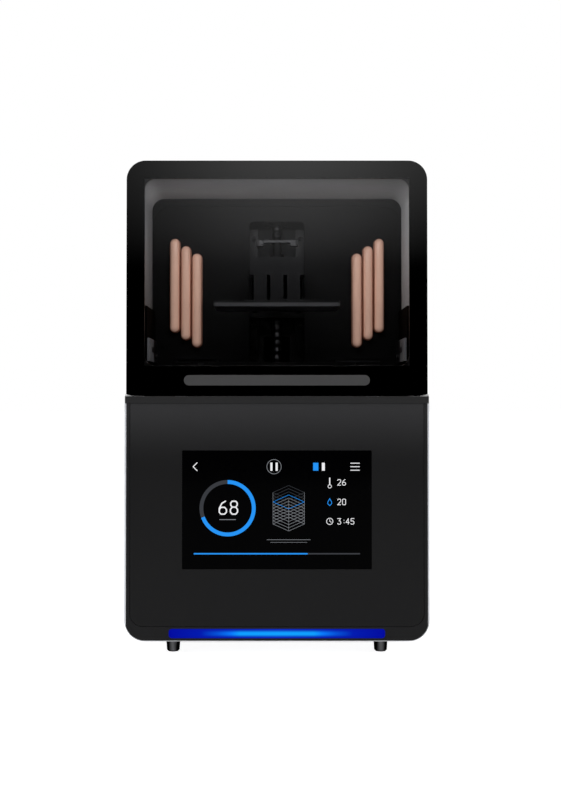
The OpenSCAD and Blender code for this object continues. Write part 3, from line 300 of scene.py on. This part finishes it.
def line(ink, path, width, closed=False, layer=0):
    """A lit line of even width along a path, with round joints where it is thick."""
    following = path[1:] + path[:1] if closed else path[1:]
    for (u0, v0), (u1, v1) in zip(path, following):
        length = math.hypot(u1 - u0, v1 - v0) or 1e-9
        a, b = -(v1 - v0) / length * width / 2, (u1 - u0) / length * width / 2
        patch(ink, [(u0 + a, v0 + b), (u1 + a, v1 + b), (u1 - a, v1 - b), (u0 - a, v0 - b)], layer)
    if width > 0.5:
        turns = [t * math.pi / 6 for t in range(12)]
        for u, v in path:
            patch(ink, [(u + width / 2 * math.cos(t), v + width / 2 * math.sin(t)) for t in turns], layer + 1)


def arc(ink, u, v, radius, width, start, stop, layer=0):
    """A lit arc, its angles in degrees clockwise from the top."""
    steps = max(3, int(abs(stop - start) / 4))
    turns = [math.radians(start + (stop - start) * i / steps) for i in range(steps + 1)]
    inner, outer = radius - width / 2, radius + width / 2
    for t0, t1 in zip(turns, turns[1:]):
        corners = ((outer, t0), (outer, t1), (inner, t1), (inner, t0))
        patch(ink, [(u + r * math.sin(t), v - r * math.cos(t)) for r, t in corners], layer)


digit_strokes = {
    "0": [(0, .2), (.2, 0), (.8, 0), (1, .2), (1, 1.6), (.8, 1.8), (.2, 1.8), (0, 1.6), (0, .2)],
    "2": [(0, .3), (.2, 0), (.8, 0), (1, .3), (1, .7), (0, 1.8), (1, 1.8)],
    "3": [(0, 0), (1, 0), (.45, .75), (.8, .8), (1, 1.1), (1, 1.5), (.8, 1.8), (.2, 1.8), (0, 1.5)],
    "4": [(.75, 1.8), (.75, 0), (0, 1.25), (1.05, 1.25)],
    "5": [(1, 0), (.1, 0), (.05, .8), (.7, .75), (1, 1.05), (1, 1.5), (.75, 1.8), (.2, 1.8), (0, 1.55)],
    "6": [(.85, 0), (.35, .3), (0, 1), (0, 1.55), (.25, 1.8), (.75, 1.8), (1, 1.5), (1, 1.15), (.75, .85),
          (.25, .85), (0, 1.15)],
    "8": [(.25, .82), (.05, .55), (.05, .25), (.25, 0), (.75, 0), (.95, .25), (.95, .55), (.75, .82),
          (.25, .82), (0, 1.15), (0, 1.5), (.25, 1.8), (.75, 1.8), (1, 1.5), (1, 1.15), (.75, .82)],
}
colon_dots = [[(.5, .5), (.5, .56)], [(.5, 1.3), (.5, 1.36)]]


def digits(ink, text, u, v, size, width):
    """Plain numbers drawn in round-ended strokes, size being their width."""
    for sign in text:
        for stroke in colon_dots if sign == ":" else [digit_strokes[sign]]:
            line(ink, [(u + a * size, v + b * size) for a, b in stroke], width)
        u += size * (1.1 if sign == ":" else 1.55)


def made(build, name, finish):
    """Closes a build into a piece of that name, in its finish."""
    mesh = bpy.data.meshes.new(name)
    build.to_mesh(mesh)
    build.free()
    mesh.materials.append(finish)
    piece = bpy.data.objects.new(name, mesh)
    scene.collection.objects.link(piece)
    return piece


# ring that counts, at the left
arc(pixel_dim, 52, 66, 30, 4.4, 0, 360)
arc(pixel_blue, 52, 66, 30, 4.4, 0, 250, layer=3)
digits(pixel_white, "68", 42.5, 58.0, 8.2, 1.5)
line(pixel_grey, [(43, 79), (61, 79)], 0.8)

# sliced block in the middle, its finished slices grey, one blue and the rest dim
for slice_number in range(11):
    height = 84 - slice_number * 3.6
    ink = pixel_blue if slice_number == 7 else pixel_grey if slice_number < 7 else pixel_dim
    line(ink, [(104, height), (122, height - 8), (140, height), (122, height + 8)], 0.42, closed=True)
line(pixel_grey, [(104, 84), (104, 48)], 0.35)
line(pixel_grey, [(140, 84), (140, 48)], 0.35)
line(pixel_grey, [(122, 92), (122, 56)], 0.35)
line(pixel_grey, [(97, 102), (147, 102)], 0.5)
line(pixel_grey, [(101, 105), (143, 105)], 0.35)

# readings at the right: a warm sign, a drop and a clock, each with its number
arc(pixel_white, 169, 41, 1.9, 0.7, 0, 360)
line(pixel_white, [(169, 38.4), (169, 31.5)], 1.3)
digits(pixel_white, "26", 178, 33.2, 3.6, 0.75)
drop = [(169, 55), (166.8, 59), (166.8, 61), (169, 63), (171.2, 61), (171.2, 59)]
line(pixel_blue, drop, 0.75, closed=True)
digits(pixel_white, "20", 178, 55.6, 3.6, 0.75)
arc(pixel_white, 169, 81, 3.6, 0.7, 0, 360)
line(pixel_white, [(169, 78.8), (169, 81), (170.9, 82.1)], 0.6)
digits(pixel_white, "3:45", 178, 77.8, 3.6, 0.75)

# bar that fills along the foot, and along the top the keys: back, pause, two levels and a list
line(pixel_dim, [(14, 118), (203, 118)], 1.6)
line(pixel_blue, [(14, 118), (143, 118)], 1.6, layer=3)
line(pixel_white, [(17, 14), (12.5, 18.5), (17, 23)], 1.0)
for u in (101, 107):
    patch(pixel_white, [(u, 13.8), (u + 2.4, 13.8), (u + 2.4, 23.2), (u, 23.2)])
arc(pixel_grey, 105.2, 18.5, 8.2, 0.6, 0, 360)
for row in (14.5, 18.5, 22.5):
    line(pixel_white, [(193, row), (203, row)], 0.9)
patch(pixel_blue, [(150, 14), (156, 14), (156, 23), (150, 23)])
patch(pixel_white, [(160, 14), (163.4, 14), (163.4, 23), (160, 23)])
for ink, build in picture.items():
    marks = made(build, ink.name + "_marks", ink)
    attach(marks, "housing")


# Hood shell: a moulded cover of roof, sides and window border, in deep black with a smooth skin.
# Its lining is a paler grey with painted light and shade over it, and it turns back on two bolts at its upper
# rear corners.

hood_low, hood_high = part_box("hood_shell")
hood_corner = 0.022
hood_skin = 0.003
hood_border = 0.0035
roof_front, roof_rear = -0.10, 0.035
wall_foot, wall_top = 0.405, 0.515
corner_foot, corner_top = 0.545, 0.562
window_half = 0.1525
window_foot = 0.3324
window_top = 0.548
hood_black = painted("hood_black", (0.0015, 0.0015, 0.0016), 0.3, grain=3000, relief=0.0, mottle=0.1,
                     edge=0.0012, specular=0.25)
tree = hood_black.node_tree
spot = spot_on(tree)
from_middle = measure(tree, "ABSOLUTE", spot["X"])

# the lining begins under the outer skin, whose section has round upper corners
beside = measure(tree, "MAXIMUM", measure(tree, "SUBTRACT", from_middle, hood_high.x - hood_corner), 0)
above = measure(tree, "MAXIMUM", measure(tree, "SUBTRACT", spot["Z"], hood_high.z - hood_corner), 0)
squares = measure(tree, "ADD", measure(tree, "MULTIPLY", beside, beside),
                  measure(tree, "MULTIPLY", above, above))
under_skin = measure(tree, "LESS_THAN", measure(tree, "SQRT", squares), hood_corner - hood_skin)
behind_border = measure(tree, "GREATER_THAN", spot["Y"], hood_low.y + hood_border)

# painted light and shade on the lining: roof paler to the rear and left, walls paler upwards and to the right
roof_painted_light = measure(tree, "MULTIPLY", graded(tree, spot["Y"], (roof_front, roof_rear), (0.22, 1.0)),
                     measure(tree, "MULTIPLY_ADD", spot["X"], -1.5, 1.0))
wall_painted_light = measure(tree, "MULTIPLY", graded(tree, spot["Z"], (wall_foot, wall_top), (0.5, 1.0)),
                     measure(tree, "MULTIPLY_ADD", spot["X"], 1.5, 0.72))
lining_grey_with_painted_light = blended(tree, graded(tree, spot["Z"], (corner_foot, corner_top)), wall_painted_light,
                      measure(tree, "MINIMUM", roof_painted_light, 0.96))
recoloured(hood_black, measure(tree, "MULTIPLY", under_skin, behind_border), lining_grey_with_painted_light)

# grey webs in the window's two upper corners
in_width = measure(tree, "LESS_THAN", from_middle, window_half)
below_top = measure(tree, "LESS_THAN", spot["Z"], window_top)
upper_half = measure(tree, "GREATER_THAN", spot["Z"], (window_foot + window_top) / 2)
corner_web = measure(tree, "MULTIPLY", measure(tree, "MULTIPLY", in_width, below_top), upper_half)
recoloured(hood_black, corner_web, (0.10, 0.10, 0.101, 1))
dress(hood_black, "hood_shell")


# Front sheet: smoked clear plastic bonded over the whole front of the hood, with a hard polished face.
# Its border is printed black, up to half a millimetre from the window's edge.

print_gap = 0.0005
smoke = bpy.data.materials.new("smoke")
smoke.use_nodes = True
tree = smoke.node_tree
tree.nodes.remove(tree.nodes["Principled BSDF"])
spot = spot_on(tree)
smoke_tint = blended(tree, clouded(tree, 6.0), (0.735, 0.735, 0.745, 1), (0.765, 0.765, 0.775, 1))
past_side = measure(tree, "SUBTRACT", measure(tree, "ABSOLUTE", spot["X"]), window_half + print_gap)
past_top = measure(tree, "SUBTRACT", spot["Z"], window_top + print_gap)
past_foot = measure(tree, "SUBTRACT", window_foot - print_gap, spot["Z"])
past_window = measure(tree, "MAXIMUM", past_side, measure(tree, "MAXIMUM", past_top, past_foot))
printed = measure(tree, "GREATER_THAN", past_window, 0)
through = tree.nodes.new("ShaderNodeBsdfTransparent")
feed(tree, through.inputs["Color"], blended(tree, printed, smoke_tint, (0.02, 0.02, 0.02, 1)))
shine = tree.nodes.new("ShaderNodeBsdfGlossy")
shine.inputs["Color"].default_value = (1, 1, 1, 1)
shine.inputs["Roughness"].default_value = 0.05
edge_on = tree.nodes.new("ShaderNodeFresnel")
edge_on.inputs["IOR"].default_value = 1.45
face = tree.nodes.new("ShaderNodeNewGeometry")
front_only = measure(tree, "SUBTRACT", 1.0, face.outputs["Backfacing"])
polish = measure(tree, "MULTIPLY", edge_on.outputs["Fac"], front_only)
mixed = tree.nodes.new("ShaderNodeMixShader")
for slot, value in zip(mixed.inputs, (polish, through.outputs["BSDF"], shine.outputs["BSDF"])):
    feed(tree, slot, value)
feed(tree, tree.nodes["Material Output"].inputs["Surface"], mixed.outputs["Shader"])
dress(smoke, "visor")


# Tower seal and corner stops, glued to the hood: a lip of closed-cell foam round the front of the tower,
# a thin black strip under each end of the front, put in for the shade of the gap there, and a pale grey
# rubber wedge in the relief at each lower corner, a painted glint where light shows through the gap.
# They close the hood when it is shut, and swing up with it.

def arch(half, top, radius, foot):
    """An upside-down U with round corners, as points from its left foot to its right foot."""
    points = [(-half, foot)]
    for side, start in ((-1, 180), (1, 90)):
        for step in range(9):
            turn = math.radians(start - step * 90 / 8)
            points.append((side * (half - radius) + radius * math.cos(turn),
                           top - radius + radius * math.sin(turn)))
    points.append((half, foot))
    return points


def bar(build, outline, front_y, back_y):
    """A bar whose section, drawn in x and z, runs from front to back."""
    front, back = [[build.verts.new((x, y, z)) for x, z in outline] for y in (front_y, back_y)]
    build.faces.new(front)
    build.faces.new(back)
    for i in range(len(outline)):
        j = (i + 1) % len(outline)
        build.faces.new((front[i], front[j], back[j], back[i]))


seal_foot = 0.31
seal_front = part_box("chamber_wall")[0].y - 0.0006
seal_back = seal_front + 0.008
seal_outside = arch(0.16695, 0.56245, 0.016, seal_foot)
seal_inside = arch(0.16575, 0.55225, 0.0242, seal_foot)
seal_section = ((seal_outside, seal_front), (seal_inside, seal_front), (seal_inside, seal_back),
                (seal_outside, seal_back))
seal_build = bmesh.new()
seal_rings = [[seal_build.verts.new((x, y, z)) for x, z in points] for points, y in seal_section]
for ring, following in zip(seal_rings, seal_rings[1:] + seal_rings[:1]):
    for i in range(len(ring) - 1):
        seal_build.faces.new((ring[i], ring[i + 1], following[i + 1], following[i]))
for end in (0, -1):
    seal_build.faces.new([ring[end] for ring in seal_rings])

hood_front = -0.1895
strip_back, stop_back = -0.1860, -0.1700
soft_foot = 0.29702
strip_inner, strip_outer, strip_top = 0.1450, 0.1662, 0.29726
stop_inner, stop_outer, stop_low, stop_high = 0.1664, 0.1742, 0.29735, 0.29925
# the black strips stand in for shade in the gap, the pale wedges for a painted glint at each corner
gap_shade_strip = ((strip_inner, soft_foot), (strip_outer, soft_foot),
         (strip_outer, strip_top), (strip_inner, strip_top))
glint_wedge = ((stop_inner, soft_foot), (stop_outer, soft_foot),
         (stop_outer, stop_high), (stop_inner, stop_low))
stop_build = bmesh.new()
for side in (-1, 1):
    bar(seal_build, [(side * x, z) for x, z in gap_shade_strip], hood_front, strip_back)
    bar(stop_build, [(side * x, z) for x, z in glint_wedge], hood_front, stop_back)
for build in (seal_build, stop_build):
    bmesh.ops.recalc_face_normals(build, faces=build.faces)
seal_foam = painted("seal_foam", (0.005, 0.005, 0.0052), 0.6, grain=2600, relief=0.3, specular=0.13)
pale_glint_rubber = painted("pale_glint_rubber", (0.72, 0.72, 0.725), 0.6, grain=1800, relief=0.1, specular=0.2)
tower_seal = made(seal_build, "tower_seal", seal_foam)
corner_stops = made(stop_build, "corner_stops", pale_glint_rubber)
seal_edge = tower_seal.modifiers.new("soft_edge", "BEVEL")
seal_edge.width = 0.0003
seal_edge.segments = 2
for soft_part in (tower_seal, corner_stops):
    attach(soft_part, "hood")


# Grip strip: a satin grey bar with round ends, set into the front sheet near its foot.
# Fingers lift the hood by the edge below it.

grip_grey = painted("grip_grey", (0.052, 0.052, 0.053), 0.42, grain=1800, relief=0.06, specular=0.3)
dress(grip_grey, "grip_strip")


# Chamber wall and tower cover: folded sheet in a soft dark grey, which parts the lift from the vat.
# Side guards in black keep splashes off the hood, each with a grey bracket that has painted shade over its
# rear and in a band at its hook.

hook_start, bracket_shade_from = 0.034, 0.062
hook_half = 0.0035
hook_rise = 0.001
chamber_paint = painted("chamber_paint", (0.0044, 0.0044, 0.0046), 0.5, grain=1500, specular=0.10)
# painted shade: the grey is painted darker towards the foot and paler towards the top
painted_light_upwards(chamber_paint, 0.36, 0.50, 0.1, 0.85)
dress(chamber_paint, "chamber_wall", "tower_shell", "tower_back", "filter_cover")
guard_black = painted("guard_black", (0.0008, 0.0008, 0.0008), 0.7, grain=900, relief=0.08, specular=0.01)
dress(guard_black, "side_guards")
bracket_low, bracket_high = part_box("guard_brackets")
hook_z = (bracket_low.z + bracket_high.z) / 2 + hook_rise
bracket_grey = painted("bracket_grey", (0.24, 0.24, 0.25), 0.4, grain=900, relief=0.05)
# painted shade: the bracket is painted black over its rear and in a band at its hook
tree = bracket_grey.node_tree
spot = spot_on(tree)
to_rear = measure(tree, "SUBTRACT", spot["Y"], bracket_low.y)
off_hook = measure(tree, "ABSOLUTE", measure(tree, "SUBTRACT", spot["Z"], hook_z))
hook_shade = measure(tree, "MULTIPLY", measure(tree, "GREATER_THAN", to_rear, hook_start),
                  measure(tree, "LESS_THAN", off_hook, hook_half))
bracket_painted_shade = measure(tree, "MAXIMUM", measure(tree, "GREATER_THAN", to_rear, bracket_shade_from), hook_shade)
recoloured(bracket_grey, bracket_painted_shade, (0.002, 0.002, 0.002, 1))
dress(bracket_grey, "guard_brackets")


# Chamber light: a slim bar of white diodes under a diffuse lens, bonded inside the hood behind its border.
# It lights the chamber from above and in front.

lens_height = 0.0021
lens_strength = 6.0
light_case = bpy.data.materials.new("light_case")
light_case.use_nodes = True
tree = light_case.node_tree
shader = tree.nodes["Principled BSDF"]
on_lens = measure(tree, "LESS_THAN", spot_on(tree)["Z"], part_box("chamber_light")[0].z + lens_height)
feed(tree, shader.inputs["Emission Strength"], measure(tree, "MULTIPLY", on_lens, lens_strength))
shader.inputs["Emission Color"].default_value = (0.9, 0.95, 1.0, 1)
shader.inputs["Base Color"].default_value = (0.5, 0.52, 0.54, 1)
shader.inputs["Roughness"].default_value = 0.4
dress(light_case, "chamber_light")
chamber_lamp = bpy.data.lights.new("chamber_lamp", "AREA")
chamber_lamp.shape = "RECTANGLE"
chamber_lamp.size = 0.23
chamber_lamp.size_y = 0.008
chamber_lamp.energy = 0.5
chamber_lamp_holder = bpy.data.objects.new("chamber_lamp", chamber_lamp)
chamber_lamp_holder.location = (0, -0.1765, 0.548)
chamber_lamp_holder.rotation_euler = (math.radians(38), 0, 0)
scene.collection.objects.link(chamber_lamp_holder)
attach(chamber_lamp_holder, "hood")


# Heater lamps: six quartz tubes with a warm coating, three on each side, that keep the resin warm.
# They glow a soft copper, with painted shade dimming the glow towards each tube's edges, and each sits before
# a copper reflector on the chamber wall.

lamp_coat = bpy.data.materials.new("lamp_coat")
lamp_coat.use_nodes = True
tree = lamp_coat.node_tree
shader = tree.nodes["Principled BSDF"]
# painted shade: the glow dims towards each tube's edges, where it faces away
facing = tree.nodes.new("ShaderNodeLayerWeight")
facing.inputs["Blend"].default_value = 0.42
glow_dimmed_at_edges = ramped(tree, facing.outputs["Facing"], (0.0, (0.66, 0.41, 0.31)), (1.0, (0.10, 0.035, 0.02)))
feed(tree, shader.inputs["Emission Color"], glow_dimmed_at_edges)
shader.inputs["Emission Strength"].default_value = 0.60
coat = blended(tree, clouded(tree, 160.0), (0.55, 0.33, 0.24, 1), (0.75, 0.48, 0.36, 1))
feed(tree, shader.inputs["Base Color"], coat)
shader.inputs["Roughness"].default_value = 0.3
dress(lamp_coat, "heater_lamps")
holder_copper = painted("holder_copper", (0.30, 0.15, 0.10), 0.45, metal=0.7, grain=600, relief=0.08)
dress(holder_copper, "lamp_holders")


# Lift: a black anodised column with two blackened rails, a steel screw painted near black for the shade it
# stands in, and a carriage.
# The motor hangs below the deck and turns the screw through a sleeve.

anodised_black = painted("anodised_black", (0.0048, 0.0048, 0.005), 0.5, grain=1500, relief=0.05,
                         specular=0.14)
# painted shade: the coupling is dressed in this black for the shade it stands in under the platform
dress(anodised_black, "lift_column", "lift_bearing", "lift_coupling", "carriage", "platform_arm",
      "projector_body")
bright_steel = painted("bright_steel", (0.62, 0.62, 0.64), 0.2, metal=1.0, grain=1200, relief=0.02)
dress(bright_steel, "pivot_bolts")
rail_black = painted("rail_black", (0.006, 0.006, 0.0063), 0.35, metal=0.3, grain=1200, relief=0.02,
                     specular=0.2)
dress(rail_black, "lift_rails")
nut_brass = painted("nut_brass", (0.62, 0.42, 0.16), 0.3, metal=1.0, grain=900)
dress(nut_brass, "lift_nut")
motor_black = painted("motor_black", (0.02, 0.02, 0.022), 0.45, relief=0.12)
dress(motor_black, "lift_motor", "projector_lens")
screw_thread = bpy.data.materials.new("screw_thread")
screw_thread.use_nodes = True
tree = screw_thread.node_tree
shader = tree.nodes["Principled BSDF"]
rings = tree.nodes.new("ShaderNodeTexWave")
rings.bands_direction = "Z"
rings.inputs["Scale"].default_value = 31.0
feed(tree, rings.inputs["Vector"], tree.nodes.new("ShaderNodeTexCoord").outputs["Object"])
groove = tree.nodes.new("ShaderNodeBump")
groove.inputs["Strength"].default_value = 0.8
groove.inputs["Distance"].default_value = 0.0015
feed(tree, groove.inputs["Height"], rings.outputs["Fac"])
feed(tree, shader.inputs["Normal"], groove.outputs["Normal"])
# painted shade: the steel is near black for the shade below the platform
shader.inputs["Base Color"].default_value = (0.06, 0.06, 0.062, 1)
shader.inputs["Metallic"].default_value = 1.0
shader.inputs["Roughness"].default_value = 0.3
dress(screw_thread, "lift_screw")


# Platform: a blasted plate bolted to a ribbed mount, which hangs from the arm by a quarter-turn latch.
# The plate is bare grey metal with painted shade along its upper edge, the mount is dark, and the latch has a
# grey bar with painted shade below it in the middle.

plate_shade_band = 0.0022
latch_bar = 0.0033
spindle_half = 0.012
mount_grey = painted("mount_grey", (0.007, 0.007, 0.0073), 0.45, metal=0.3, grain=2400, relief=0.1,
                     specular=0.2)
dress(mount_grey, "platform_mount")
plate_blast = painted("plate_blast", (0.095, 0.095, 0.097), 0.42, metal=0.6, grain=3200, relief=0.3,
                      mottle=0.1)
tree = plate_blast.node_tree
# painted shade: the plate's top edge is painted black
shaded_plate_top = measure(tree, "GREATER_THAN", spot_on(tree)["Z"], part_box("build_plate")[1].z - plate_shade_band)
recoloured(plate_blast, shaded_plate_top, (0.002, 0.002, 0.002, 1))
dress(plate_blast, "build_plate")
latch_grey = painted("latch_grey", (0.036, 0.036, 0.037), 0.45, metal=0.3, grain=1800, relief=0.05,
                     specular=0.12)
tree = latch_grey.node_tree
spot = spot_on(tree)
# painted shade: the latch is painted black below its bar in the middle
below_bar = measure(tree, "LESS_THAN", spot["Z"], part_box("platform_latch")[1].z - latch_bar)
in_middle = measure(tree, "LESS_THAN", measure(tree, "ABSOLUTE", spot["X"]), spindle_half)
recoloured(latch_grey, measure(tree, "MULTIPLY", below_bar, in_middle), (0.002, 0.002, 0.002, 1))
dress(latch_grey, "platform_latch")


# Vat: a milled frame in black anodising with a clear film stretched under it, over the glass in the deck.
# Two turning clamps of bare aluminium hold its ears down on the deck.

vat_black = painted("vat_black", (0.002, 0.002, 0.0021), 0.45, grain=2200, relief=0.1, specular=0.05)
dress(vat_black, "vat_frame")
plain_aluminium = painted("plain_aluminium", (0.72, 0.72, 0.74), 0.34, metal=1.0, grain=2000, relief=0.08)
dress(plain_aluminium, "vat_clamp_left", "vat_clamp_right")
film_clear = painted("film_clear", (0.10, 0.105, 0.11), 0.15, grain=300, relief=0.02)
dress(film_clear, "vat_film")
window_glass = bpy.data.materials.new("window_glass")
window_glass.use_nodes = True
tree = window_glass.node_tree
shader = tree.nodes["Principled BSDF"]
feed(tree, shader.inputs["Roughness"], graded(tree, clouded(tree, 500.0), (0.0, 1.0), (0.01, 0.06)))
shader.inputs["Base Color"].default_value = (0.9, 0.96, 1.0, 1)
shader.inputs["Transmission Weight"].default_value = 0.95
dress(window_glass, "deck_glass")


# Fans, blower, filter and sockets: moulded parts in black, fixed in the base and the tower.
# The pleated filter is grey, and the data sockets have shells of tinned sheet.

moulded_black = painted("moulded_black", (0.018, 0.018, 0.019), 0.48, grain=1100, relief=0.1)
dress(moulded_black, "projector_fan_frame", "projector_fan_rotor", "exhaust_fan_frame", "exhaust_fan_rotor",
      "blower_housing", "blower_rotor", "filter_housing", "mains_inlet", "rocker_frame", "power_rocker")
pleats = painted("pleats", (0.12, 0.12, 0.12), 0.9, grain=400, relief=0.6, mottle=0.3)
dress(pleats, "filter_cartridge")
socket_tin = painted("socket_tin", (0.24, 0.24, 0.245), 0.42, metal=0.9, grain=900, relief=0.08, mottle=0.15)
dress(socket_tin, "data_ports")


# Rear screws: countersunk steel screws with cross recesses, blackened with the panels they hold.
# They run along the edges of the rear panel and of the tower's back, and one sits at each corner of the fan.

screw_radius = 0.0028
screw_rise = 0.0003
screw_inset = 0.009
cross_depth = 0.0009
fan_pitch = 0.03575
panel_low, panel_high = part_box("rear_panel")
back_low, back_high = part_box("tower_back")
fan_low, fan_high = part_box("exhaust_fan_frame")
fan_middle = (fan_low + fan_high) / 2
panel_columns = (panel_low.x + screw_inset, (panel_low.x + panel_high.x) / 2, panel_high.x - screw_inset)
screw_places = [(x, panel_high.y, z) for x in panel_columns
                for z in (panel_low.z + screw_inset, panel_high.z - screw_inset)]
screw_places += [(x, back_high.y, z) for x in (back_low.x + screw_inset, back_high.x - screw_inset)
                 for z in (back_low.z + 0.012, 0.43, back_high.z - 0.024)]
screw_places += [(fan_middle.x + a * fan_pitch, panel_high.y, fan_middle.z + b * fan_pitch)
                 for a in (-1, 1) for b in (-1, 1)]
arm_long = screw_radius * 0.6
arm_half = screw_radius * 0.16
cross = [(arm_half, arm_half), (arm_half, arm_long), (-arm_half, arm_long), (-arm_half, arm_half),
         (-arm_long, arm_half), (-arm_long, -arm_half), (-arm_half, -arm_half), (-arm_half, -arm_long),
         (arm_half, -arm_long), (arm_half, -arm_half), (arm_long, -arm_half), (arm_long, arm_half)]
head_turns = [t * math.pi / 12 for t in range(24)]
head = [(screw_radius * math.cos(t), screw_radius * math.sin(t)) for t in head_turns]
screw_build = bmesh.new()
for x, y, z in screw_places:
    foot, face, mouth, cross_floor = [
        [screw_build.verts.new((x + a * size, y + rise, z + b * size)) for a, b in outline]
        for outline, size, rise in ((head, 1.0, 0.00002), (head, 0.9, screw_rise), (cross, 1.0, screw_rise),
                                    (cross, 0.7, -cross_depth))]
    for low_ring, high_ring in ((foot, face), (mouth, cross_floor)):
        for i in range(len(low_ring)):
            j = (i + 1) % len(low_ring)
            screw_build.faces.new((low_ring[i], low_ring[j], high_ring[j], high_ring[i]))
    screw_build.faces.new(cross_floor)
    edges = [screw_build.edges.get((ring[i], ring[(i + 1) % len(ring)])) for ring in (face, mouth)
             for i in range(len(ring))]
    bmesh.ops.triangle_fill(screw_build, edges=edges, use_beauty=True)
bmesh.ops.recalc_face_normals(screw_build, faces=screw_build.faces)
screw_black = painted("screw_black", (0.06, 0.06, 0.062), 0.32, metal=0.8, grain=1500, edge=0)
rear_screws = made(screw_build, "rear_screws", screw_black)
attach(rear_screws, "housing")


# Studio: a pale floor, a white surround and soft lamps above and to the sides.
# A dark card behind the camera keeps black faces black, and its glow along the top lights the hood's edge.

def seen_at_all(tree):
    """1 where a surface is seen, straight, mirrored or through glass, and 0 where it only gives light."""
    seen = tree.nodes.new("ShaderNodeLightPath").outputs
    seen_or_mirrored = measure(tree, "MAXIMUM", seen["Is Camera Ray"], seen["Is Glossy Ray"])
    return measure(tree, "MAXIMUM", seen_or_mirrored, seen["Is Transmission Ray"])


floor_paint = bpy.data.materials.new("floor_paint")
floor_paint.use_nodes = True
tree = floor_paint.node_tree
tree.nodes.remove(tree.nodes["Principled BSDF"])
floor_glow = tree.nodes.new("ShaderNodeEmission")
feed(tree, floor_glow.inputs["Strength"], measure(tree, "MULTIPLY", seen_at_all(tree), 0.86))
floor_matt = tree.nodes.new("ShaderNodeBsdfDiffuse")
floor_matt.inputs["Color"].default_value = (0.6, 0.6, 0.6, 1)
both = tree.nodes.new("ShaderNodeAddShader")
feed(tree, both.inputs[0], floor_glow.outputs["Emission"])
feed(tree, both.inputs[1], floor_matt.outputs["BSDF"])
feed(tree, tree.nodes["Material Output"].inputs["Surface"], both.outputs["Shader"])
floor_build = bmesh.new()
bmesh.ops.create_grid(floor_build, x_segments=1, y_segments=1, size=30)
floor = made(floor_build, "floor", floor_paint)

card_half, card_y, card_top = 4.5, -3.4, 3.4
card_paint = bpy.data.materials.new("card_paint")
card_paint.use_nodes = True
tree = card_paint.node_tree
tree.nodes.remove(tree.nodes["Principled BSDF"])
spot = spot_on(tree)
card_rise = graded(tree, spot["Z"], (0.78, 1.13), (0.0, 1.35))
card_aside = measure(tree, "SUBTRACT", spot["X"], 0.08)
card_fall = measure(tree, "MULTIPLY", measure(tree, "MULTIPLY", card_aside, card_aside), -3.2)
card_level = measure(tree, "MULTIPLY", measure(tree, "EXPONENT", card_fall), card_rise)
card_glow = tree.nodes.new("ShaderNodeEmission")
feed(tree, card_glow.inputs["Strength"], card_level)
feed(tree, tree.nodes["Material Output"].inputs["Surface"], card_glow.outputs["Emission"])
card_build = bmesh.new()
card_corners = ((-card_half, card_y, 0), (card_half, card_y, 0), (card_half, card_y, card_top),
                (-card_half, card_y, card_top))
card_build.faces.new([card_build.verts.new(corner) for corner in card_corners])
dark_card = made(card_build, "dark_card", card_paint)
dark_card.visible_camera = False
dark_card.visible_diffuse = False
dark_card.visible_shadow = False

surround = bpy.data.worlds.new("surround")
scene.world = surround
surround.use_nodes = True
tree = surround.node_tree
sky = tree.nodes["Background"]
sky.inputs["Color"].default_value = (1, 1, 1, 1)
feed(tree, sky.inputs["Strength"], graded(tree, seen_at_all(tree), (0.0, 1.0), (0.45, 1.0)))


def softbox(name, place, aim, width, height, energy):
    """A soft studio lamp that points at a spot on the printer."""
    lamp = bpy.data.lights.new(name, "AREA")
    lamp.shape = "RECTANGLE"
    lamp.size = width
    lamp.size_y = height
    lamp.energy = energy
    holder = bpy.data.objects.new(name, lamp)
    holder.location = place
    holder.rotation_euler = (Vector(aim) - Vector(place)).to_track_quat("-Z", "Y").to_euler()
    scene.collection.objects.link(holder)


softbox("top_box", (0, -0.3, 2.4), (0, 0, 0.4), 1.6, 1.4, 34)
softbox("left_box", (-2.2, -1.3, 1.4), (0, 0, 0.3), 1.0, 1.4, 18)
softbox("right_box", (2.2, -1.3, 1.4), (0, 0, 0.3), 1.0, 1.4, 14)


# Camera: a long lens square to the front at the height of the deck, tipped up by about one degree.
# Its frame is shifted a little down and to the right, which sets the printer in the picture.

eye = bpy.data.cameras.new("eye")
eye.lens = 58.82
eye.sensor_width = 36.0
eye.sensor_fit = "AUTO"
eye.shift_x = 0.00448
eye.shift_y = -0.0347
eye_holder = bpy.data.objects.new("eye", eye)
eye_holder.location = (0, -1.690, 0.2932)
eye_holder.rotation_euler = (math.radians(91.2), 0, 0)
scene.collection.objects.link(eye_holder)
scene.camera = eye_holder
